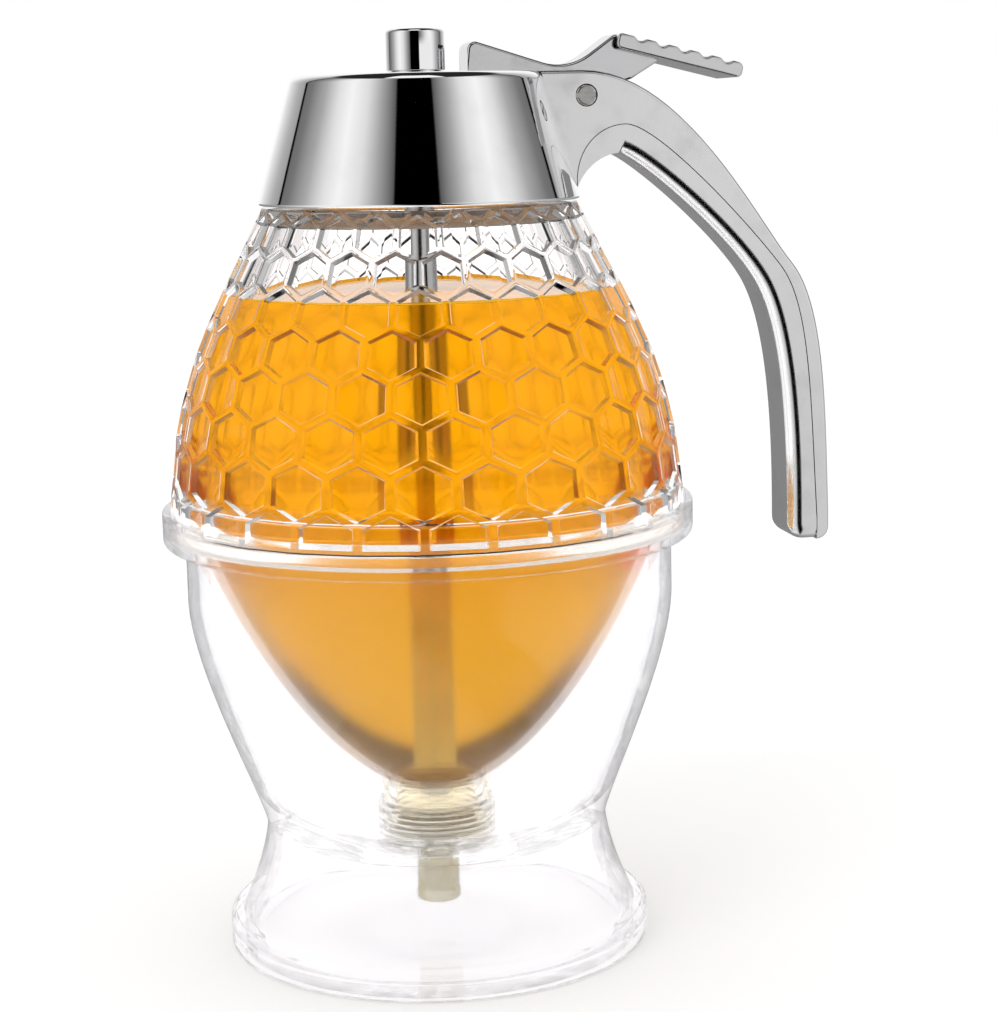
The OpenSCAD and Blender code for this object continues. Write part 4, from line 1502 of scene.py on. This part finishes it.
@dataclass
class Cap:
    """The chrome screw cap with its lever slot."""

    low: float = 129.6
    top: float = 151.0
    low_r: float = 27.6
    top_r: float = 21.3
    edge_r: float = 1.8
    wall: float = 1.4
    slot_w: float = 9.2
    slot_front: float = 7.9
    slot_low: float = 143.2
    rod_hole: float = 2.28

    def out(self, z: float) -> float:
        """Outer radius of the cap's side at a height."""
        return self.low_r - (z - self.low) * (self.low_r - self.top_r) / (self.top - self.low)

    def shell(self) -> bpy.types.Object:
        """The cap, turned and then slotted for the lever."""
        slope = self.wall * math.hypot(1, (self.low_r - self.top_r) / (self.top - self.low))
        under = self.top - self.wall
        corners = [
            (self.low_r - slope, self.low, 0.3), (self.low_r, self.low, 0.45),
            (self.top_r, self.top, self.edge_r), (self.rod_hole, self.top, 0.15),
            (self.rod_hole, under, 0.1), (self.out(under) - slope, under, 0.8),
        ]
        piece = Bench.turned("cap_cone", rounded(corners, 10), 256)
        half = self.slot_w / 2
        slot = (self.slot_front, -half, self.slot_low), (self.low_r + 9, half, self.top + 9)
        Bench.cut(piece, Bench.box(*slot))
        Bench.smooth(piece, 30)
        return dress(piece, CAP_CHROME, Body.CAP, ["cap_shell"])

    def build(self) -> None:
        """Makes the cap and dresses what is inside it."""
        self.shell()
        dress_nodes(LINER_PLASTIC, ["cap_liner", "rod_guide_bush"])
        dress_nodes(SCREW_STEEL, ["liner_screws", "handle_screws", "spring_seat", "plunger_spring"])


@dataclass
class Plunger:
    """The knob on top of the rod, and the pieces on the rod."""

    low: float = 151.2
    top: float = 158.49
    radius: float = 5.05
    bore: float = 2.25
    bore_top: float = 156.2

    def knob(self) -> bpy.types.Object:
        """The knob, turned with a fine chamfer and a slightly domed top."""
        corners = [
            (0.0, self.bore_top), (self.bore, self.bore_top), (self.bore, self.low),
            (self.radius - 0.5, self.low, 0.1), (self.radius, self.low + 0.4, 0.2),
            (self.radius, self.top, 0.75), (2.5, self.top), (0.0, self.top),
        ]
        outline = rounded(corners, 8)
        return spun("plunger_knob", outline, 128, CAP_CHROME, Body.PLUNGER, ["knob"], angle=30)

    def build(self) -> None:
        """Makes the knob and dresses the rod and what it carries."""
        self.knob()
        dress_nodes(ROD_STEEL, ["plunger_rod"])
        dress_nodes(COLLAR_BRASS, ["lift_collar"])
        dress_nodes(SCREW_STEEL, ["collar_clip", "stopper_washer", "stopper_nut"])
        dress_nodes(STOPPER_SILICONE, ["stopper"])


# ------------------------------------------------------------------ handle and lever


@dataclass
class Handle:
    """The handle: an outer shell, an inner cover and the screw that the lever turns on."""

    top: float = 151.0
    width: float = 13.0
    grip_x: float = 70.89
    grip_t: float = 7.2
    end_z: float = 68.2
    pivot_x: float = 28.1
    pivot_z: float = 146.8
    pivot_r: float = 1.85
    slit_h: float = 0.84
    slit_d: float = 0.8
    root_z: float = 130.1
    tip_t: float = 2.2
    tip_r: float = 2.2
    cover_tip_r: float = 2.8
    cover_round: float = 2.4
    slot_w: float = 9.2
    cap: Cap = field(default_factory=Cap)

    def outer(self) -> list[Point]:
        """The outer line, from the cap's top over the shoulder and down the grip."""
        x, z = self.grip_x - 6.6, self.top - 33.5
        start, pull = (self.pivot_x - 0.7, self.top), (self.pivot_x + 16.9, self.top)
        return bend(start, pull, (x - 5.8, z + 7), (x, z), 22) + [
            p for p in bend((x, z), (self.grip_x - 0.3, z - 7.6), (self.grip_x - 0.5, z - 27.1),
                            (self.grip_x, self.end_z + 5.8), 22) if p[1] < z - NEAR
        ]

    def parting(self) -> list[Point]:
        """The fine line where shell and cover meet."""
        knee = (self.pivot_x + 6.7, self.top - 9.1)
        x, z = self.grip_x - 8.5, self.top - 34.3
        return (
            bend((self.pivot_x - 1.8, self.root_z), (self.pivot_x - 2.9, self.root_z + 7.6),
                 (self.pivot_x + 2, knee[1]), knee, 14)
            + bend(knee, (self.pivot_x + 12.4, knee[1]), (x - 4.9, z + 6.6), (x, z), 20)[1:]
            + bend((x, z), (self.grip_x - 3.2, z - 7.1), (self.grip_x - 3.3, z - 24.1),
                   (self.grip_x - self.tip_t, self.end_z + 4.2), 20)[1:]
        )

    def inner(self) -> list[Point]:
        """The inner line, where the fingers go."""
        knee = (self.pivot_x + 5.4, self.top - 14)
        x, z, grip = self.grip_x - 12.9, self.top - 36.7, self.grip_x - self.grip_t
        return (
            bend((self.pivot_x - 2.2, self.root_z), (self.pivot_x - 0.9, self.root_z + 5.2),
                 (self.pivot_x + 3.5, knee[1]), knee, 12)
            + bend(knee, (self.pivot_x + 8.2, knee[1]), (x - 5, z + 8.5), (x, z), 20)[1:]
            + bend((x, z), (grip - 1.5, z - 7.1), (grip, z - 22.1), (grip, self.end_z + 5.8), 20)[1:]
        )

    def _meets_cap(self) -> bpy.types.Object:
        """The cap's filled form, to cut the handle's root to."""
        low, high, out = self.cap.low - 1, self.top + 1, self.cap.out
        outline = [(0.0, low), (out(low), low), (out(high), high), (0.0, high)]
        return Bench.turned("root_cutter", outline, 256)

    def _on_faces(self, line: Sequence[Point], width: float) -> Callable[[Vector, Vector], bool]:
        """A test for the edges that follow a line on either side face."""
        def wanted(a: Vector, b: Vector) -> bool:
            """True where both ends and the middle lie on the line and on one side face."""
            ends = (a, b, (a + b) / 2)
            return Bench.on_side(a, b, width) and all(off_line(line, (p.x, p.z)) < 0.03 for p in ends)

        return wanted

    def shell(self) -> bpy.types.Object:
        """The outer shell with its clevis slot and its screw holes."""
        grip_in = self.grip_x - self.grip_t
        root_x = self.cap.top_r - self.cap.edge_r
        low = (self.grip_x, self.end_z)
        tip = corner((self.grip_x, self.end_z + 5), low, (grip_in, self.end_z), self.tip_r)
        outer = [(root_x, self.root_z), (root_x, self.top), *self.outer(), *tip]
        seam = [(self.grip_x - self.tip_t, self.end_z), *reversed(self.parting())]
        piece = Bench.plate("handle_outer", outer + seam, self.width)
        Bench.cut(piece, self._meets_cap())
        half = self.slot_w / 2
        slot = (root_x - 3, -half, self.pivot_z - 5.2), (self.pivot_x + 13, half, self.top + 9)
        Bench.cut(piece, Bench.box(*slot))
        hole = Bench.rod((self.pivot_x, 0, self.pivot_z), "Y", self.pivot_r + 0.07, self.width + 4)
        Bench.cut(piece, hole)
        Bench.bevel(piece, self._on_faces(outer[1:], self.width), 0.6, 4, held=False)
        Bench.bevel(piece, self._on_faces(seam, self.width), 0.16, 2)
        Bench.smooth(piece, 30, level=True)
        return dress(piece, HANDLE_CHROME, Body.CAP, ["handle_shell"])

    def cover(self) -> bpy.types.Object:
        """The inner cover, rounded where the fingers close on it."""
        grip_in, width = self.grip_x - self.grip_t, self.width - 0.2
        low = (grip_in, self.end_z)
        tip = corner((grip_in, self.end_z + 5), low, (self.grip_x, self.end_z), self.cover_tip_r)
        seam = beside(self.parting(), 0.06)
        grip = [*self.inner(), *tip, (self.grip_x - self.tip_t - 0.06, self.end_z)]
        piece = Bench.plate("handle_inner", [*seam, *reversed(grip)], width)
        Bench.cut(piece, self._meets_cap())
        Bench.bevel(piece, self._on_faces(grip[12:], width), self.cover_round, 6, held=False)
        Bench.bevel(piece, self._on_faces(seam, width), 0.16, 2)
        Bench.smooth(piece, 30, level=True)
        return dress(piece, HANDLE_CHROME, Body.CAP, ["handle_cover"])

    def screw(self) -> bpy.types.Object:
        """The pivot screw with its domed and slotted head."""
        near, far, x, z = -self.width / 2 - 0.2, self.width / 2 - 0.7, self.pivot_x, self.pivot_z
        piece = Bench.rod((x, (near + far) / 2, z), "Y", self.pivot_r, far - near, 64)
        for face, round_w, steps in ((near, 0.45, 5), (far, 0.2, 2)):
            Bench.bevel(
                piece, lambda a, b: max(abs(a.y - face), abs(b.y - face)) < NEAR, round_w, steps
            )
        half = self.slit_h / 2
        Bench.cut(piece, Bench.box((x - 3, near - 1, z - half), (x + 3, near + self.slit_d, z + half)))
        Bench.smooth(piece, 30, level=True)
        piece.name = piece.data.name = "pivot_head_screw"
        return dress(piece, SCREW_STEEL, Body.CAP, ["pivot_screw"])

    def build(self) -> None:
        """Makes the handle's pieces."""
        self.shell()
        self.cover()
        self.screw()


@dataclass
class Lever:
    """The trigger lever: a pressed channel with a hood, a ridged thumb pad and a fork.

    The groove between two ridges is given from its edge to its middle, as distance and height.
    """

    top: float = 151.0
    width: float = 8.6
    sheet: float = 1.4
    pad_w: float = 13.0
    pad_l: float = 22.6
    pad_t: float = 2.6
    tilt: float = 14.2
    ridges: int = 5
    pitch: float = 3.9
    groove: Sequence[Point] = ((1.25, 0.0), (0.95, -0.12), (0.6, -0.4), (0.3, -0.55), (0.0, -0.6))
    pivot_x: float = 28.1
    pivot_z: float = 146.8
    pivot_r: float = 1.93
    boss_r: float = 4.0
    nose_x: float = 8.2
    fork_top: float = 139.0
    tine_t: float = 2.1
    rod_r: float = 2.5

    @property
    def pad_at(self) -> Point:
        """Where the pad's upper face starts."""
        return self.pivot_x + 5.9, self.top + 6.15

    def on_pad(self, along: float, up: float) -> Point:
        """A point given along the pad's upper face and above it."""
        tilt = math.radians(self.tilt)
        x, z = self.pad_at
        return (
            x + along * math.cos(tilt) + up * math.sin(tilt),
            z - along * math.sin(tilt) + up * math.cos(tilt),
        )

    def arm(self) -> bpy.types.Object:
        """The channel: side plates down to the fork, joined by the skin on top."""
        dip = (self.pivot_x - 2.7, self.top + 0.1)
        pad, end = self.pad_at, self.on_pad(8.6, -self.pad_t - 0.03)
        turns = [math.radians(a) for a in range(20, -121, -10)]
        boss = [
            (self.pivot_x + self.boss_r * math.cos(a), self.pivot_z + self.boss_r * math.sin(a))
            for a in turns
        ]
        foot_x = self.nose_x + 6
        outline: list[Sequence[float]] = [
            (self.rod_r + 3.1, self.fork_top), (self.nose_x, self.fork_top + 2.6, 1),
            (self.nose_x, self.top + 5.65, 1.4), (*dip, 9), (pad[0] - 0.2, pad[1] - 0.1, 1.2),
            (pad[0] + 3, pad[1] - 1.5), (*end, 0.5), (self.pivot_x + 8.4, self.top - 1.6, 1),
            *boss, (self.pivot_x - 7, self.pivot_z - 2.6, 1), (foot_x + 2.4, self.fork_top + 2.6, 2),
            (foot_x, self.fork_top - self.tine_t, 0.5),
            (-self.rod_r - 1.7, self.fork_top - self.tine_t),
            (-self.rod_r - 1.7, self.fork_top - 1.1), (0.5, self.fork_top),
        ]
        piece = Bench.plate("lever_arm", rounded(outline, 8), self.width)

        def upper(a: Vector, b: Vector) -> bool:
            """True for the side faces' edges that show above the handle."""
            return Bench.on_side(a, b, self.width) and min(a.z, b.z) > self.top - 3

        Bench.bevel(piece, upper, 0.55, 4)
        channel = rounded([
            (-10, self.fork_top - 5), (-10, self.top - 1.5),
            (self.nose_x + self.sheet, self.top - 1.5),
            (self.nose_x + self.sheet, self.top + 4.1, 0.8), (dip[0], dip[1] - self.sheet, 9),
            (self.pivot_x + 4.4, dip[1] + 2.9, 0.8), (self.pivot_x + 4.4, self.fork_top - 5),
        ], 6)
        Bench.cut(piece, Bench.plate("channel_cutter", channel, self.width - 2 * self.sheet))
        Bench.cut(piece, Bench.rod((self.pivot_x, 0, self.pivot_z), "Y", self.pivot_r, self.width + 4))
        return piece

    def pad(self) -> bpy.types.Object:
        """The thumb pad with rounded ridges across it."""
        at, long, low = self.on_pad, self.pad_l, -self.pad_t
        line: list[Point] = corner(at(0, low), at(0, 0), at(5, 0), 0.7)
        for i in range(self.ridges):
            middle = 1.9 + self.pitch * (i + 0.5)
            falling = [(middle - along, deep) for along, deep in self.groove]
            rising = [(middle + along, deep) for along, deep in reversed(self.groove[:-1])]
            line += [at(a, u) for a, u in falling + rising if a < long - 1.1]
        line += corner(at(long - 3, 0), at(long, 0), at(long, -3), 1.1)
        line += corner(at(long, 0), at(long, low), at(0, low), 0.9)
        line += corner(at(5, low), at(0, low), at(0, 0), 0.9)
        piece = Bench.plate("thumb_pad", line, self.pad_w)
        Bench.bevel(piece, lambda a, b: Bench.on_side(a, b, self.pad_w), 0.4, 3)
        return piece

    def build(self) -> None:
        """Makes the lever."""
        piece = Bench.joined("thumb_lever", [self.arm(), self.pad()])
        Bench.smooth(piece, 30, level=True)
        dress(piece, LEVER_CHROME, Body.LEVER, ["trigger_lever"])


# ------------------------------------------------------------------ studio


# Grey of the tent's cloth by degrees off its front: the slit, the bright wings, a seam, the back.
TENT_CLOTH = (
    (0, 0.0), (16.5, 0.0), (17.5, 0.1), (30, 0.38), (44, 0.78), (60, 0.98), (73, 0.8), (89, 0.42),
    (107, 0.19), (115, 0.16), (115.8, 0.0), (118.2, 0.0), (119, 0.36), (129, 0.46), (143, 0.72),
    (158, 1.0),
)
# The same for the floor as metal mirrors it, from half a turn left of the front to half a turn right.
FLOOR_CLOTH = (
    (0, 0.3), (30, 0.27), (65, 0.34), (105, 0.95), (140, 0.9), (158, 0.6), (163, 0.0), (197, 0.0),
    (199, 0.74), (240, 0.76), (290, 0.5), (360, 0.3),
)


@dataclass
class Studio:
    """Floor, light tent, lamps and the camera at the photograph's place."""

    azimuth: float = 10.5
    pitch: float = 9.365
    roll: float = 1.358
    distance: float = 402.9
    sideways: float = 12.35
    eye: float = 143.0
    focal: float = 2340.3
    long_side: int = 1012
    level: float = 0.86

    def camera(self) -> None:
        """The camera: straight at the photograph's angle, with its slight roll."""
        a, p, r = (math.radians(v) for v in (self.azimuth, self.pitch, self.roll))
        ahead = Vector((math.sin(a) * math.cos(p), math.cos(a) * math.cos(p), -math.sin(p)))
        right = Vector((math.cos(a), -math.sin(a), 0))
        up = right.cross(ahead)
        x = right * math.cos(r) - up * math.sin(r)
        y = right * math.sin(r) + up * math.cos(r)
        flat = Vector((math.sin(a), math.cos(a), 0))
        place = right * self.sideways - flat * self.distance + Vector((0, 0, self.eye))
        bpy.ops.object.camera_add()
        camera = bpy.context.object
        camera.name = "photo_camera"
        turn = Matrix((x, y, -ahead)).transposed().to_4x4()
        camera.matrix_world = Matrix.Translation(place * MM) @ turn
        camera.data.sensor_width = 36
        camera.data.lens = self.focal / self.long_side * 36
        camera.data.clip_start, camera.data.clip_end = 0.01, 20
        bpy.context.scene.camera = camera

    def world(self) -> None:
        """Plain white all round: full for what the eye sees, a little less as light."""
        world = bpy.data.worlds.new("white_room")
        bpy.context.scene.world = world
        world.use_nodes = True
        world.cycles_visibility.glossy = False
        nodes = Nodes(world.node_tree)
        ray = "ShaderNodeLightPath"
        through = nodes.add(ray, output="Is Transmission Ray")
        seen = nodes.add(ray, output="Is Camera Ray").at_least(through)
        strength = self.level + seen * (1 - self.level)
        sky = nodes.add("ShaderNodeBackground", {}, {"Color": (1, 1, 1, 1), "Strength": strength})
        nodes.add("ShaderNodeOutputWorld", {}, {"Surface": sky})

    @staticmethod
    def grey(value: float) -> Colour:
        """An even grey."""
        return value, value, value, 1

    def round_about(self, nodes: Nodes, centre: Sequence[float]) -> tuple[Wire, Wire, Wire]:
        """How far a place lies towards the front, to the right and up from a centre in millimetres."""
        place = nodes.here(centre=centre, turn=(0, 0, -90 - self.azimuth))
        split = nodes.add("ShaderNodeSeparateXYZ", {}, {0: place})
        return tuple(Wire(nodes, split.socket.node.outputs[i]) for i in range(3))

    def floor(self) -> None:
        """A wide pale floor that keeps the object's shadow; metal mirrors it as tent cloth."""
        Bench.start()
        bpy.ops.mesh.primitive_plane_add(size=9, location=(0, 0, -0.0001))
        floor = bpy.context.object
        floor.name = "floor"
        made = bpy.data.materials.new("pale_floor")
        made.use_nodes = True
        nodes = Nodes(made.node_tree)
        ray = "ShaderNodeLightPath"
        seen, mirrored, through = (
            nodes.add(ray, output=f"Is {kind} Ray") for kind in ("Camera", "Glossy", "Transmission")
        )
        base = nodes.add("ShaderNodeBsdfDiffuse", {}, {"Color": (0.8, 0.8, 0.8, 1)})
        strength = (seen * 0.33).at_least(through * 0.72)
        lift = nodes.add("ShaderNodeEmission", {}, {"Color": (1, 1, 1, 1), "Strength": strength})
        both = nodes.add("ShaderNodeAddShader", {}, {0: base, 1: lift})
        x, y, _ = self.round_about(nodes, (65, 0, 0))
        signed = y.angle_from(x) * (0.5 / math.pi) + 0.5
        cloth = nodes.ramp(FLOOR_CLOTH, 360, signed)
        mirror = nodes.add("ShaderNodeEmission", {}, {"Color": cloth, "Strength": 1.0})
        both = nodes.add("ShaderNodeMixShader", {}, {0: mirrored * (1 - through), 1: both, 2: mirror})
        nodes.add("ShaderNodeOutputMaterial", {}, {"Surface": both})
        floor.data.materials.append(made)

    def tent(self) -> None:
        """A light tent that metal mirrors: bright sides, a front slit, thin seams, a dark top."""
        Bench.start()
        bpy.ops.mesh.primitive_uv_sphere_add(
            segments=96, ring_count=48, radius=1.9, location=(0, 0, 0.12)
        )
        tent = bpy.context.object
        bpy.ops.object.transform_apply(location=True)
        tent.name = "light_tent"
        made = bpy.data.materials.new("tent_cloth")
        made.use_nodes = True
        nodes = Nodes(made.node_tree)
        x, y, z = self.round_about(nodes, (0, 0, 120))
        right = y.angle_from(x) * (180 / math.pi)
        around = right.size() * (1 / 180)
        ahead = nodes.add("ShaderNodeCombineXYZ", {}, {0: x, 1: y, 2: 0.0})
        flat = nodes.add(
            "ShaderNodeVectorMath", {"operation": "LENGTH"}, {0: ahead}, output="Value"
        )
        rise = z.angle_from(flat) * (180 / math.pi)

        grey = self.grey
        wing = right.step(16.5, 18) * (1 - right.step(60, 75)) * (1 - rise.step(5, 8))
        side = nodes.blend(wing, nodes.ramp(TENT_CLOTH, 180, around), grey(0.88))
        roof = rise.step(46, 54)
        lamp = rise.step(50, 54) * (1 - rise.step(76, 80)) * (1 - around.step(34 / 180, 38 / 180))
        above = nodes.blend(lamp, grey(0.02), grey(1.0))
        colour = nodes.blend(roof, side, above)
        glow = nodes.add("ShaderNodeEmission", {}, {"Color": colour, "Strength": 1.0})
        nodes.add("ShaderNodeOutputMaterial", {}, {"Surface": glow})
        made.cycles.emission_sampling = "NONE"
        tent.data.materials.append(made)
        for ray in ("camera", "diffuse", "shadow", "transmission", "volume_scatter"):
            setattr(tent, f"visible_{ray}", False)

    def lamp(self) -> None:
        """A large soft lamp from the upper left of the camera, for a gentle side-to-side change."""
        Bench.start()
        bpy.ops.object.light_add(type="AREA", location=(-0.9, -0.9, 1.1))
        lamp = bpy.context.object
        lamp.name = "soft_key"
        lamp.data.shape = "DISK"
        lamp.data.size = 1.0
        lamp.data.energy = 5.0
        aim = Vector((0, 0, 0.08)) - lamp.location
        lamp.rotation_euler = aim.to_track_quat("-Z", "Y").to_euler()
        lamp.visible_glossy = lamp.visible_transmission = False

    def build(self) -> None:
        """Sets the studio up."""
        self.camera()
        self.world()
        self.floor()
        self.tent()
        self.lamp()
        bpy.context.scene.view_settings.view_transform = "Standard"


def main() -> None:
    """Builds the dispenser's pieces in order, then the studio round them."""
    logging.basicConfig(level=logging.INFO, format="%(name)s: %(message)s")
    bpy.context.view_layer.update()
    for group in (Stand(), Vessel(), Cap(), Plunger(), Handle(), Lever()):
        LOG.info("building %s", type(group).__name__)
        group.build()
    Studio().build()
    Bench.start()


if __name__ == "__main__":
    main()
